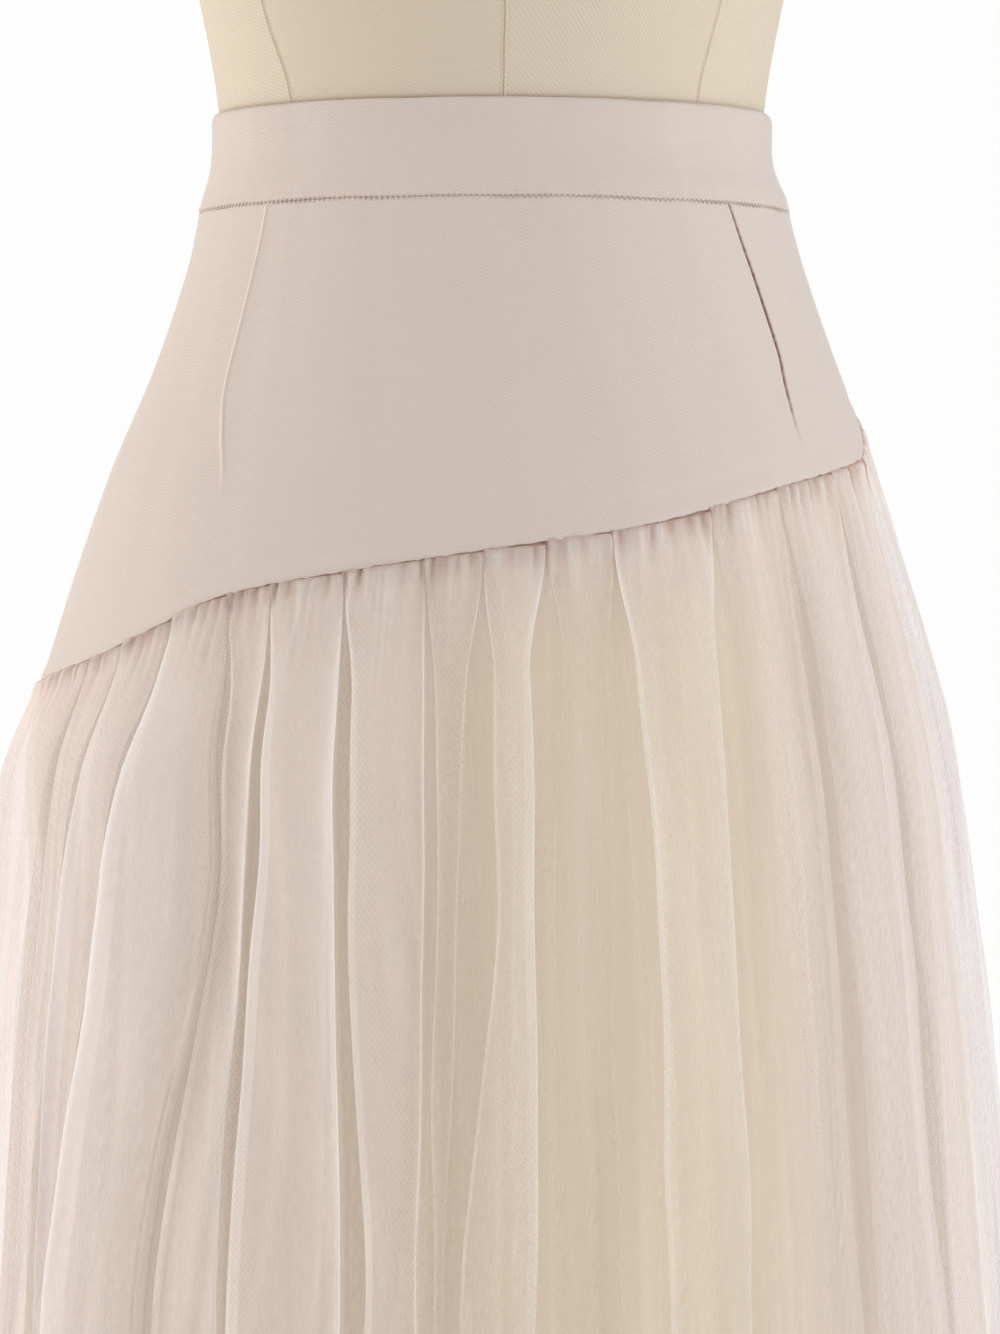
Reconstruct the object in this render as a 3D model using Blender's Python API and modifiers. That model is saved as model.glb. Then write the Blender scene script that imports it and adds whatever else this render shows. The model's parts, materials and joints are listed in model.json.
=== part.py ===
"""A long gathered tulle skirt with a slanting hip yoke, worn by a limbless dress form on a round stand.

Metres, +Z up. The front faces -Y and the wearer's left is +X. The origin is on the floor, at the middle
of the stand's foot. An angle round the skirt is in degrees: 0 at the centre front, 90 at the wearer's
left side, 180 at the centre back and -90 (or 270) at the wearer's right side.
"""

import math

import bmesh
import bpy
from mathutils import Matrix, Vector

MM = 0.001

# Heights above the floor
BAND_TOP = 1.075
BAND_BOTTOM = 1.0325
HEM = 0.235
LINING_HEM = 0.275
FORM_BOTTOM = 0.765

# Cloth walls and the gaps between pieces
SEAM_GAP = 0.3 * MM
BAND_WALL = 2.2 * MM
YOKE_WALL = 2.0 * MM
TULLE_WALL = 1.1 * MM
LINING_WALL = 1.1 * MM
FORM_CLEARANCE = 0.6 * MM

# The skirt's outer surface, crest to crest, at each height: its reach to the wearer's left and right, and its half depth
OUTLINE_COLUMNS = ("height", "reach_left", "reach_right", "half_depth", "centre_y")
OUTLINE = (
    (0.2350, 0.2620, 0.2700, 0.2380, 0.008),
    (0.5428, 0.2330, 0.2440, 0.2070, 0.008),
    (0.6583, 0.2225, 0.2350, 0.1935, 0.008),
    (0.7239, 0.2150, 0.2275, 0.1850, 0.008),
    (0.7895, 0.2065, 0.2165, 0.1725, 0.008),
    (0.8333, 0.1965, 0.1960, 0.1580, 0.008),
    (0.8770, 0.1831, 0.1818, 0.1450, 0.007),
    (0.9208, 0.1690, 0.1665, 0.1320, 0.006),
    (0.9645, 0.1520, 0.1481, 0.1180, 0.004),
    (1.0083, 0.1367, 0.1330, 0.1055, 0.001),
    (1.0325, 0.1300, 0.1277, 0.1000, 0.000),
    (1.0390, 0.1290, 0.1264, 0.0988, 0.000),
    (1.0477, 0.1250, 0.1236, 0.0958, 0.000),
    (1.0565, 0.1226, 0.1222, 0.0938, 0.000),
    (1.0650, 0.1225, 0.1220, 0.0936, 0.000),
    (1.0750, 0.1225, 0.1220, 0.0937, 0.000),
)

# The slanting seam where the yoke ends and the tulle begins
SEAM_COLUMNS = ("angle", "height")
SEAM = (
    (-90, 0.8290),
    (-63, 0.8375),
    (-49, 0.8510),
    (-38, 0.8640),
    (-18, 0.8750),
    (0, 0.8835),
    (20, 0.8930),
    (45, 0.9105),
    (62, 0.9195),
    (74, 0.9275),
    (84, 0.9370),
    (100, 0.9500),
    (125, 0.9570),
    (150, 0.9440),
    (180, 0.9140),
    (210, 0.8790),
    (240, 0.8480),
)

# The darts of the yoke: the angle at the waist, the angle at the tip and the tip's height
DART_COLUMNS = ("angle_top", "angle_tip", "tip_height")
FRONT_DARTS = ((-47.4, -41.8, 0.907), (50.6, 51.2, 0.935))
BACK_LEFT_DARTS = ((138.0, 139.5, 0.975),)
BACK_RIGHT_DARTS = ((222.0, 220.5, 0.945),)
DART_DEPTH = 1.2 * MM
DART_HALF_ANGLE = 1.5

# The tulle's large folds: each one's edges at the yoke seam and low down, in degrees, and its share of the depth
FOLD_COLUMNS = ("left_top", "right_top", "left_low", "right_low", "rise")
FRONT_FOLDS = (
    (-87.5, -78.0, -87.0, -77.0, 0.85),
    (-75.5, -62.5, -74.5, -61.0, 1.00),
    (-60.5, -55.0, -59.0, -56.0, 0.80),
    (-53.0, -45.8, -54.0, -52.2, 0.90),
    (-44.0, -37.5, -50.5, -38.5, 1.00),
    (-35.5, -30.7, -36.5, -28.4, 0.70),
    (-29.0, -20.7, -26.5, -14.6, 1.00),
    (-18.6, -9.6, -12.4, -7.4, 1.00),
    (-8.0, -2.2, -5.8, -4.6, 0.55),
    (0.2, 4.2, -3.0, 4.4, 0.95),
    (10.5, 15.2, 8.5, 14.0, 0.35),
    (17.3, 29.8, 18.8, 27.5, 1.00),
    (33.0, 43.2, 31.2, 43.0, 0.80),
    (45.5, 57.0, 45.4, 58.0, 0.90),
    (59.2, 72.5, 60.4, 73.5, 0.85),
    (75.0, 87.5, 76.0, 87.5, 1.00),
)
BACK_FOLD_COUNT = 16
FOLD_LOW = 0.566
FLANK_ANGLE = 0.75
CREST_STEP_ANGLE = 1.9
WIDE_GAP_ANGLE = 4.0

# How deep the tulle's folds are, and the layers under it, at each distance below the yoke seam
DEPTH_COLUMNS = ("below_seam", "fold_depth", "under_gap", "under_depth", "lining_gap")
DEPTHS = (
    (0.000, 1.0 * MM, 1.75 * MM, 0.0 * MM, 0.35 * MM),
    (0.010, 2.0 * MM, 1.7 * MM, 0.4 * MM, 0.6 * MM),
    (0.035, 5.5 * MM, 2.0 * MM, 2.0 * MM, 1.3 * MM),
    (0.095, 10.0 * MM, 2.6 * MM, 5.0 * MM, 2.2 * MM),
    (0.240, 12.5 * MM, 3.2 * MM, 7.0 * MM, 3.0 * MM),
    (0.440, 14.0 * MM, 3.4 * MM, 9.0 * MM, 8.0 * MM),
    (0.740, 18.0 * MM, 3.4 * MM, 12.0 * MM, 14.0 * MM),
)
GATHER_HEIGHT = 0.9 * MM
GATHER_FADE = 0.030

# Where each layer has its rows, as shares of its length from the seam to its hem
TULLE_ROWS = (0, 0.013, 0.05, 0.14, 0.36, 0.66, 1)
UNDER_ROWS = (0, 0.05, 0.14, 0.36, 0.66, 1)
LINING_ROWS = (0, 0.05, 0.14, 0.36, 0.66, 1)
UNDER_FOLDS = 11
LINING_STEPS = 32
UNDER_STEPS = 55

# The centre back zip
ZIP_SLIT = 3.0 * MM
CHAIN_WIDTH = 2.4 * MM
CHAIN_WALL = 1.5 * MM
CHAIN_END_ABOVE_SEAM = 4 * MM
SLIDER_SIZE = Vector((5.0, 1.4, 8.0)) * MM
SLIDER_BELOW_TOP = 5.5 * MM
BRIDGE_SIZE = Vector((1.6, 2.6, 2.4)) * MM
TAB_AXIS_OUT = 1.55 * MM
TAB_THICKNESS = 1.1 * MM
TAB_LENGTH = 15 * MM
TAB_FORK_HALF_WIDTH = 2.1 * MM
TAB_SLOT_HALF_WIDTH = 1.1 * MM
TAB_SLOT_DEPTH = 2.0 * MM
TAB_ABOVE_AXIS = 0.95 * MM
TAB_TIP_RADIUS = 2.9 * MM

# The dress form's level sections, from the hips up to the neck
FORM_COLUMNS = ("height", "half_width", "half_depth", "centre_y")
FORM_SECTIONS = (
    (0.765, 0.142, 0.104, 0.010),
    (0.785, 0.150, 0.111, 0.010),
    (0.825, 0.157, 0.117, 0.010),
    (0.865, 0.159, 0.119, 0.009),
    (0.905, 0.154, 0.116, 0.008),
    (0.945, 0.1445, 0.1090, 0.005),
    (0.985, 0.1350, 0.1020, 0.002),
    (1.015, 0.1272, 0.0972, 0.000),
    (1.039, 0.1221, 0.0935, 0.000),
    (1.0565, 0.1192, 0.0908, 0.000),
    (1.0750, 0.1191, 0.0908, 0.000),
    (1.100, 0.1225, 0.0930, -0.001),
    (1.140, 0.1306, 0.0980, -0.004),
    (1.185, 0.1402, 0.1055, -0.008),
    (1.230, 0.1490, 0.1145, -0.013),
    (1.270, 0.1555, 0.1190, -0.014),
    (1.310, 0.1640, 0.1120, -0.008),
    (1.350, 0.1720, 0.1000, 0.000),
    (1.385, 0.1730, 0.0860, 0.006),
    (1.410, 0.1500, 0.0740, 0.010),
    (1.430, 0.1120, 0.0640, 0.012),
    (1.445, 0.0800, 0.0580, 0.013),
    (1.462, 0.0600, 0.0560, 0.012),
    (1.490, 0.0545, 0.0550, 0.008),
    (1.520, 0.0540, 0.0550, 0.004),
)
FORM_STEPS = 32
ARM_PLATE_X = 0.158
ARM_PLATE_HEIGHT = 1.345
ARM_PLATE_LEAN = math.radians(10)

# The neck cap and the stand
CAP_PROFILE = ((0.0, 0.040), (0.010, 0.039), (0.016, 0.033), (0.011, 0.026), (0.009, 0.019), (0.020, 0.015),
               (0.046, 0.010), (0.052, 0.006), (0.052, 0.0), (0.0, 0.0))
POLE_RADIUS = 0.0125
COLLAR_RADIUS = 0.028
COLLAR_HEIGHT = 0.030
FOOT_PROFILE = ((0.0, 0.024), (0.018, 0.024), (0.024, 0.0215), (0.060, 0.015), (0.186, 0.0085), (0.192, 0.006),
                (0.192, 0.0), (0.0, 0.0))
ROUND_STEPS = 36


def clear_scene():
    for thing in list(bpy.data.objects):
        bpy.data.objects.remove(thing)


def material(name, colour, roughness, metallic=0.0):
    made = bpy.data.materials.new(name)
    made.use_nodes = True
    shader = made.node_tree.nodes["Principled BSDF"]
    shader.inputs["Base Color"].default_value = (*colour, 1.0)
    shader.inputs["Roughness"].default_value = roughness
    shader.inputs["Metallic"].default_value = metallic
    return made


def collection(name, shown=True):
    made = bpy.data.collections.new(name)
    bpy.context.scene.collection.children.link(made)
    made.hide_render = not shown
    return made


def add_object(name, data, group, finish=None):
    made = bpy.data.objects.new(name, data)
    group.objects.link(made)
    if finish:
        data.materials.append(finish)
    return made


# Curves through the tables


def through(points, x):
    """A smooth curve through (x, y) points in rising order of x, read at x."""
    last = len(points) - 1
    if x <= points[0][0]:
        return points[0][1]
    if x >= points[last][0]:
        return points[last][1]
    i = max(k for k in range(last) if points[k][0] <= x)

    def slope(k):
        before, after = points[max(k - 1, 0)], points[min(k + 1, last)]
        return (after[1] - before[1]) / (after[0] - before[0])

    (x0, y0), (x1, y1) = points[i], points[i + 1]
    span = x1 - x0
    t = (x - x0) / span
    rise = t * t * (3 - 2 * t)
    return y0 + (y1 - y0) * rise + span * t * (1 - t) * (slope(i) * (1 - t) - slope(i + 1) * t)


def column(rows, names, name):
    """The (first column, named column) pairs of a table."""
    at = names.index(name)
    return [(row[0], row[at]) for row in rows]


REACH_LEFT, REACH_RIGHT, HALF_DEPTHS, CENTRES = (column(OUTLINE, OUTLINE_COLUMNS, n) for n in OUTLINE_COLUMNS[1:])
FOLD_DEPTH, UNDER_GAP, UNDER_DEPTH, LINING_GAP = (column(DEPTHS, DEPTH_COLUMNS, n) for n in DEPTH_COLUMNS[1:])
SEAM_ROUND = [(angle + turn, height) for turn in (-360, 0, 360) for angle, height in SEAM]


def seam_height(angle):
    return through(SEAM_ROUND, (angle + 180) % 360 - 180)


def skin(angle, height, inward=0.0):
    """A point on the skirt's outer surface, or that far inside it along the level normal."""
    turn = math.radians(angle)
    reach = REACH_LEFT if math.sin(turn) > 0 else REACH_RIGHT
    a, b, centre = (through(table, height) for table in (reach, HALF_DEPTHS, CENTRES))
    outward = Vector((math.sin(turn) / a, -math.cos(turn) / b, 0)).normalized()
    return Vector((a * math.sin(turn), centre - b * math.cos(turn), height)) - outward * inward


# Cloth walls


def cloth_wall(name, tracks, shares, place, thickness, group, finish):
    """A grid, its columns along tracks and its rows at shares from bottom to top, thickened inwards."""
    across, up = len(tracks) - 1, len(shares) - 1
    shape = bmesh.new()
    bmesh.ops.create_grid(shape, x_segments=across, y_segments=up, size=0.5)
    for vertex in shape.verts:
        i = round((vertex.co.x + 0.5) * across)
        j = round((vertex.co.y + 0.5) * up)
        vertex.co = place(tracks[i], shares[j])
    mesh = bpy.data.meshes.new(name)
    shape.to_mesh(mesh)
    shape.free()
    mesh.shade_smooth()
    made = add_object(name, mesh, group, finish)
    wall = made.modifiers.new("Wall", "SOLIDIFY")
    wall.thickness = thickness
    wall.offset = -1
    return made


def even_tracks(start, stop, steps):
    return [start + (stop - start) * i / steps for i in range(steps + 1)]


def band(group, finish):
    """The waistband, one piece all round that meets at the centre back zip."""
    slit = math.degrees(ZIP_SLIT / 2 / through(REACH_LEFT, BAND_TOP))
    tracks = even_tracks(-180 + slit, 180 - slit, 52)
    heights = [h for h, *_ in OUTLINE if BAND_BOTTOM <= h <= BAND_TOP]
    shares = [(h - BAND_BOTTOM) / (BAND_TOP - BAND_BOTTOM) for h in heights]

    def place(angle, share):
        return skin(angle, BAND_BOTTOM + (BAND_TOP - BAND_BOTTOM) * share)

    return cloth_wall("waistband", tracks, shares, place, BAND_WALL, group, finish)


def yoke_tracks(start, stop, darts, step=5.5):
    """Columns of a yoke panel as (angle at the waist, angle at the seam, dart or None)."""
    marks = [(start, start, None)]
    for dart in darts:
        top, tip, _ = dart
        marks += [(top - DART_HALF_ANGLE, tip - DART_HALF_ANGLE, None), (top, tip, dart),
                  (top + DART_HALF_ANGLE, tip + DART_HALF_ANGLE, None)]
    marks.append((stop, stop, None))
    tracks = []
    for left, right in zip(marks, marks[1:]):
        steps = max(1, round((right[0] - left[0]) / step))
        for i in range(steps):
            t = i / steps
            tracks.append((left[0] + (right[0] - left[0]) * t, left[1] + (right[1] - left[1]) * t, left[2] if i == 0 else None))
    return tracks + [marks[-1]]


def yoke_panel(name, start, stop, darts, group, finish):
    top = BAND_BOTTOM - SEAM_GAP

    def place(track, share):
        angle_top, angle_low, dart = track
        angle = angle_low + (angle_top - angle_low) * share
        low = seam_height(angle) + SEAM_GAP
        height = low + (top - low) * share
        inward = 0.0
        if dart and height > dart[2]:
            inward = DART_DEPTH * (height - dart[2]) / (top - dart[2])
        return skin(angle, height, inward)

    shares = even_tracks(0, 1, 6)
    return cloth_wall(name, yoke_tracks(start, stop, darts), shares, place, YOKE_WALL, group, finish)


def yoke(group, finish):
    side = math.degrees(SEAM_GAP / 2 / through(HALF_DEPTHS, BAND_BOTTOM))
    slit = math.degrees(ZIP_SLIT / 2 / through(REACH_LEFT, BAND_BOTTOM))
    yoke_panel("yoke_front", -90 + side, 90 - side, FRONT_DARTS, group, finish)
    yoke_panel("yoke_back_left", 90 + side, 180 - slit, BACK_LEFT_DARTS, group, finish)
    yoke_panel("yoke_back_right", 180 + slit, 270 - side, BACK_RIGHT_DARTS, group, finish)


# The gathered layers


def back_folds():
    """The back's folds, as uneven in width, lean and height as those of the front."""
    widths = [1 + 0.34 * math.sin(2.3 * i + 0.6) + 0.18 * math.sin(5.1 * i) for i in range(BACK_FOLD_COUNT)]
    gaps = [0.26 + 0.16 * math.sin(3.7 * i + 1.9) for i in range(BACK_FOLD_COUNT + 1)]
    scale = 176.0 / (sum(widths) + sum(gaps[1:-1]))
    folds, at = [], 92.0
    for i, (width, gap) in enumerate(zip(widths, gaps[1:])):
        left, right = at, at + width * scale
        inside = min(1, i, BACK_FOLD_COUNT - 1 - i)
        lean = 1.0 * inside * math.sin(1.7 * i)
        spread = 0.10 * width * scale * math.sin(2.9 * i + 0.4)
        rise = 0.82 + 0.18 * math.sin(4.3 * i)
        folds.append((left, right, left + lean - inside * spread * 0.5, right + lean + inside * spread * 0.5, rise))
        at = right + gap * scale
    return folds


def fold_tracks(folds, start, stop):
    """Columns of a tulle panel as (angle at the seam, angle low down, share of the fold's depth)."""
    tracks = [(start, start, 0.0)]
    for i, (left_top, right_top, left_low, right_low, rise) in enumerate(folds):
        if i:
            before = folds[i - 1]
            gap_top, gap_low = left_top - before[1], left_low - before[3]
            flank = min(FLANK_ANGLE, gap_top * 0.36, gap_low * 0.36)
            tracks.append((before[1] + flank, before[3] + flank, 0.0))
            if gap_top > WIDE_GAP_ANGLE:
                tracks.append((before[1] + gap_top / 2, before[3] + gap_low / 2, 0.12))
            tracks.append((left_top - flank, left_low - flank, 0.0))
        steps = max(2, round((right_top - left_top) / CREST_STEP_ANGLE))
        for k in range(steps + 1):
            t = k / steps
            dip = 0.14 * math.sin(math.pi * t)
            tracks.append((left_top + (right_top - left_top) * t, left_low + (right_low - left_low) * t, rise - dip))
    return tracks + [(stop, stop, 0.0)]


def lean(track, height, top):
    """A column's angle at a height: it leans from its place at the seam to its place low down."""
    t = min(1.0, max(0.0, (top - height) / (top - FOLD_LOW)))
    return track[0] + (track[1] - track[0]) * t


def layer(name, tracks, rows, hem, inward, thickness, group, finish):
    """A gathered layer from the yoke seam to its hem. inward(number, track, below) is how far its surface lies inside the crest."""
    numbered = list(enumerate(tracks))

    def place(item, share):
        number, track = item
        top = seam_height(track[0]) - SEAM_GAP
        height = top + (hem - top) * (1 - share)
        return skin(lean(track, height, top), height, inward(number, track, top - height))

    shares = [1 - share for share in reversed(rows)]
    return cloth_wall(name, numbered, shares, place, thickness, group, finish)


def tulle_inward(number, track, below):
    """The outer tulle: folds that deepen downwards, and fine gathers at the seam that fade out."""
    fold = through(FOLD_DEPTH, below) * (1 - track[2])
    fade = math.exp(-below / GATHER_FADE)
    gather = GATHER_HEIGHT * (number % 2)
    return SEAM_GAP + gather * fade + fold * (1 - fade)


def under_inward(number, track, below):
    """The second tulle: broad soft waves inside the outer one."""
    wave = 0.5 + 0.5 * math.cos(math.radians((track[0] - 90) * 2 * UNDER_FOLDS))
    return through(FOLD_DEPTH, below) + through(UNDER_GAP, below) + through(UNDER_DEPTH, below) * wave


def lining_inward(number, track, below):
    """The lining hangs nearly straight inside both tulles."""
    over = through(FOLD_DEPTH, below) + through(UNDER_GAP, below) + through(UNDER_DEPTH, below)
    return over + LINING_WALL + through(LINING_GAP, below)


def gathered_layers(group, tulle, under, lining):
    side = math.degrees(SEAM_GAP / 2 / through(HALF_DEPTHS, BAND_BOTTOM))
    for part, start, stop, folds in (("front", -90 + side, 90 - side, FRONT_FOLDS), ("back", 90 + side, 270 - side, back_folds())):
        layer(f"tulle_outer_{part}", fold_tracks(folds, start, stop), TULLE_ROWS, HEM, tulle_inward, TULLE_WALL, group, tulle)
        plain = [(angle, angle, 0.0) for angle in even_tracks(start, stop, UNDER_STEPS)]
        layer(f"tulle_under_{part}", plain, UNDER_ROWS, HEM + 5 * MM, under_inward, TULLE_WALL, group, under)
        plain = [(angle, angle, 0.0) for angle in even_tracks(start, stop, LINING_STEPS)]
        layer(f"lining_{part}", plain, LINING_ROWS, LINING_HEM, lining_inward, LINING_WALL, group, lining)


# The zip


def zip_chain(group, finish):
    low = seam_height(180) + CHAIN_END_ABOVE_SEAM
    half = math.degrees(CHAIN_WIDTH / 2 / through(REACH_LEFT, BAND_BOTTOM))

    def place(angle, share):
        return skin(180 + angle, low + (BAND_TOP - low) * share, 0.2 * MM)

    return cloth_wall("zip_chain", [-half, 0, half], even_tracks(0, 1, 12), place, CHAIN_WALL, group, finish)


def box_mesh(name, size, centre):
    shape = bmesh.new()
    bmesh.ops.create_cube(shape, size=1, matrix=Matrix.Translation(centre) @ Matrix.Diagonal((*size, 1)))
    mesh = bpy.data.meshes.new(name)
    shape.to_mesh(mesh)
    shape.free()
    return mesh


def slider_height():
    return BAND_TOP - SLIDER_BELOW_TOP


def slider_face():
    """How far back the slider's outer face is: it lies just clear of the waistband."""
    return skin(180, slider_height()).y + SEAM_GAP + SLIDER_SIZE.y


def zip_slider(group, cutters, finish):
    face, height = slider_face(), slider_height()
    slider = add_object("zip_slider", box_mesh("zip_slider", SLIDER_SIZE, (0, face - SLIDER_SIZE.y / 2, height)), group, finish)
    middle = face - 0.1 * MM + BRIDGE_SIZE.y / 2
    bridge = add_object("bridge_block", box_mesh("bridge_block", BRIDGE_SIZE, (0, middle, height)), cutters)
    bridge.hide_render = True
    bridge.display_type = "WIRE"
    join = slider.modifiers.new("Bridge", "BOOLEAN")
    join.operation = "UNION"
    join.object = bridge


def zip_pull_tab(group, finish):
    """A flat drop that hangs from the slider's bridge by a fork, its origin on the fork's hinge line."""
    outline = [(TAB_SLOT_HALF_WIDTH, -TAB_SLOT_DEPTH), (TAB_SLOT_HALF_WIDTH, TAB_ABOVE_AXIS), (TAB_FORK_HALF_WIDTH, TAB_ABOVE_AXIS),
               (TAB_FORK_HALF_WIDTH, -TAB_SLOT_DEPTH - 1 * MM)]
    tip = -TAB_LENGTH + TAB_TIP_RADIUS
    outline += [(TAB_TIP_RADIUS * math.cos(a), tip + TAB_TIP_RADIUS * math.sin(a)) for a in (math.radians(20 - 22 * k) for k in range(6))]
    outline += [(-x, y) for x, y in reversed(outline)]
    shape = bpy.data.curves.new("zip_pull_tab", "CURVE")
    shape.dimensions = "2D"
    shape.fill_mode = "BOTH"
    shape.extrude = TAB_THICKNESS / 2
    line = shape.splines.new("POLY")
    line.points.add(len(outline) - 1)
    for point, (x, y) in zip(line.points, outline):
        point.co = (x, y, 0, 1)
    line.use_cyclic_u = True
    tab = add_object("zip_pull_tab", shape, group, finish)
    tab.rotation_euler = (math.radians(90), 0, 0)
    tab.location = (0, slider_face() + TAB_AXIS_OUT, slider_height())


# The dress form and its stand


def form_torso(group, finish):
    """A closed loft through the form's level sections, with a flat plate where each arm would be."""
    shape = bmesh.new()
    rings = []
    for height, half_width, half_depth, centre in FORM_SECTIONS:
        turns = [math.tau * k / FORM_STEPS for k in range(FORM_STEPS)]
        rings.append([shape.verts.new((half_width * math.sin(t), centre - half_depth * math.cos(t), height)) for t in turns])
    for below, above in zip(rings, rings[1:]):
        for k in range(FORM_STEPS):
            n = (k + 1) % FORM_STEPS
            shape.faces.new((below[k], below[n], above[n], above[k]))
    shape.faces.new(list(reversed(rings[0])))
    shape.faces.new(rings[-1])
    for side in (-1, 1):
        outward = Vector((side * math.cos(ARM_PLATE_LEAN), 0, math.sin(ARM_PLATE_LEAN)))
        everything = shape.verts[:] + shape.edges[:] + shape.faces[:]
        bmesh.ops.bisect_plane(shape, geom=everything, plane_co=(side * ARM_PLATE_X, 0, ARM_PLATE_HEIGHT), plane_no=outward,
                               clear_outer=True, dist=0.01 * MM)
        bmesh.ops.holes_fill(shape, edges=[edge for edge in shape.edges if edge.is_boundary])
    bmesh.ops.recalc_face_normals(shape, faces=shape.faces[:])
    mesh = bpy.data.meshes.new("form_torso")
    shape.to_mesh(mesh)
    shape.free()
    mesh.shade_smooth()
    add_object("form_torso", mesh, group, finish)


def turned(name, profile, base, group, finish):
    """A solid turned about the upright axis from a profile of (radius, height) points, top to bottom."""
    mesh = bpy.data.meshes.new(name)
    mesh.from_pydata([(radius, 0, height) for radius, height in profile], [(i, i + 1) for i in range(len(profile) - 1)], [])
    made = add_object(name, mesh, group, finish)
    made.location = base
    spin = made.modifiers.new("Turn", "SCREW")
    spin.steps = spin.render_steps = ROUND_STEPS
    spin.use_merge_vertices = True
    spin.merge_threshold = 0.00005
    return made


def form_stand(group, metal, wood):
    neck_height, neck_centre = FORM_SECTIONS[-1][0], FORM_SECTIONS[-1][3]
    turned("form_neck_cap", CAP_PROFILE, (0, neck_centre, neck_height + SEAM_GAP), group, wood)
    collar_low = FORM_BOTTOM - SEAM_GAP - COLLAR_HEIGHT
    collar = [(0.0, COLLAR_HEIGHT), (COLLAR_RADIUS, COLLAR_HEIGHT), (COLLAR_RADIUS, COLLAR_HEIGHT - 0.006), (0.019, COLLAR_HEIGHT - 0.010),
              (0.019, 0.0), (0.0, 0.0)]
    turned("stand_collar", collar, (0, 0, collar_low), group, metal)
    foot_top = FOOT_PROFILE[0][1]
    pole_length = collar_low - SEAM_GAP - (foot_top + SEAM_GAP)
    pole = [(0.0, pole_length), (POLE_RADIUS, pole_length), (POLE_RADIUS, 0.0), (0.0, 0.0)]
    turned("stand_pole", pole, (0, 0, foot_top + SEAM_GAP), group, metal)
    turned("stand_foot", FOOT_PROFILE, (0, 0, 0), group, metal)


def build():
    clear_scene()
    group = collection("tulle skirt on dress form")
    cutters = collection("cutters", shown=False)
    yoke_cloth = material("yoke_cloth", (0.61, 0.52, 0.46), 0.75)
    tulle = material("tulle", (0.70, 0.60, 0.53), 0.60)
    under = material("under_tulle", (0.68, 0.58, 0.50), 0.60)
    lining = material("lining", (0.66, 0.56, 0.43), 0.50)
    zip_nylon = material("zip_nylon", (0.62, 0.53, 0.47), 0.50)
    zip_metal = material("zip_metal", (0.66, 0.58, 0.52), 0.35, 0.6)
    linen = material("form_linen", (0.66, 0.58, 0.45), 0.85)
    metal = material("stand_metal", (0.16, 0.15, 0.15), 0.40, 0.8)
    wood = material("cap_wood", (0.42, 0.27, 0.15), 0.45)
    band(group, yoke_cloth)
    yoke(group, yoke_cloth)
    gathered_layers(group, tulle, under, lining)
    zip_chain(group, zip_nylon)
    zip_slider(group, cutters, zip_metal)
    zip_pull_tab(group, zip_metal)
    form_torso(group, linen)
    form_stand(group, metal, wood)


build()
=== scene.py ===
"""The looks of a long gathered tulle skirt with a slanting hip yoke, on a limbless dress form.

Metres, +Z up. The front faces -Y and the wearer's left is +X. An angle round the skirt is in degrees:
0 at the centre front, 90 at the wearer's left side, 180 at the centre back, -90 or 270 at the right side.
"""

import functools
import json
import math

import bmesh
import bpy
import numpy as np
from mathutils import Matrix, Vector

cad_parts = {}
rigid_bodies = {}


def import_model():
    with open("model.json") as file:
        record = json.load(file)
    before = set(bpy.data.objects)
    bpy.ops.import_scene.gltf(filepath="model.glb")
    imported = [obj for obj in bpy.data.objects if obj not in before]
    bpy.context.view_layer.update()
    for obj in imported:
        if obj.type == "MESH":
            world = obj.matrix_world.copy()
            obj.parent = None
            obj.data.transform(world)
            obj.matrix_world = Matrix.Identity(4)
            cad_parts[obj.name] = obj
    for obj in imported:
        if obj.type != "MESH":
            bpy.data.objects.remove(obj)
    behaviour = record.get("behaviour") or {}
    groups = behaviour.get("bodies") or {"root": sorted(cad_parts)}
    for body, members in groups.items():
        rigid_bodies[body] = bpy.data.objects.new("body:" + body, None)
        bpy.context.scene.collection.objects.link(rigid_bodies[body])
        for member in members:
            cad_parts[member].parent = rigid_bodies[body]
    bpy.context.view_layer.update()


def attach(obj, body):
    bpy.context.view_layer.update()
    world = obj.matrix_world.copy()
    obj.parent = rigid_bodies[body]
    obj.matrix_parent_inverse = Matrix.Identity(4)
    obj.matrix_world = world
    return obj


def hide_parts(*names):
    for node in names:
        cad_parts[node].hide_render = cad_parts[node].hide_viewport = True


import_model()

bl_info = {
    "name": "Tulle skirt on a dress form",
    "version": (1, 0, 0),
    "blender": (4, 5, 0),
    "location": "3D View > Sidebar > Skirt",
    "description": "Builds a gathered tulle skirt with a slanting yoke, and the dress form that wears it",
    "category": "Object",
}

MM = 0.001
BODY = "skirt_on_form"
TAB_BODY = "pull_tab"

# Heights above the floor
BAND_TOP = 1.075
BAND_BOTTOM = 1.0325
HEM = 0.235
UNDER_HEM = 0.240
LINING_HEM = 0.275
SLIDER_HEIGHT = 1.0695

# The gap between neighbouring pieces, half the width of the zip's slit, and the waistband's half width
SEAM_GAP = 0.3 * MM
ZIP_SLIT = 1.5 * MM
BAND_REACH = 0.1225

# Where the front and back pieces end, in degrees, a hair apart at the side seams
SIDE_GAP = math.degrees(0.15 * MM / 0.10)
FRONT = (-90 + SIDE_GAP, 90 - SIDE_GAP)
BACK = (90 + SIDE_GAP, 270 - SIDE_GAP)

# The length of one degree round the yoke and round the form
YOKE_DEGREE = 2.4 * MM
FORM_DEGREE = math.radians(1) * 0.135

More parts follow.
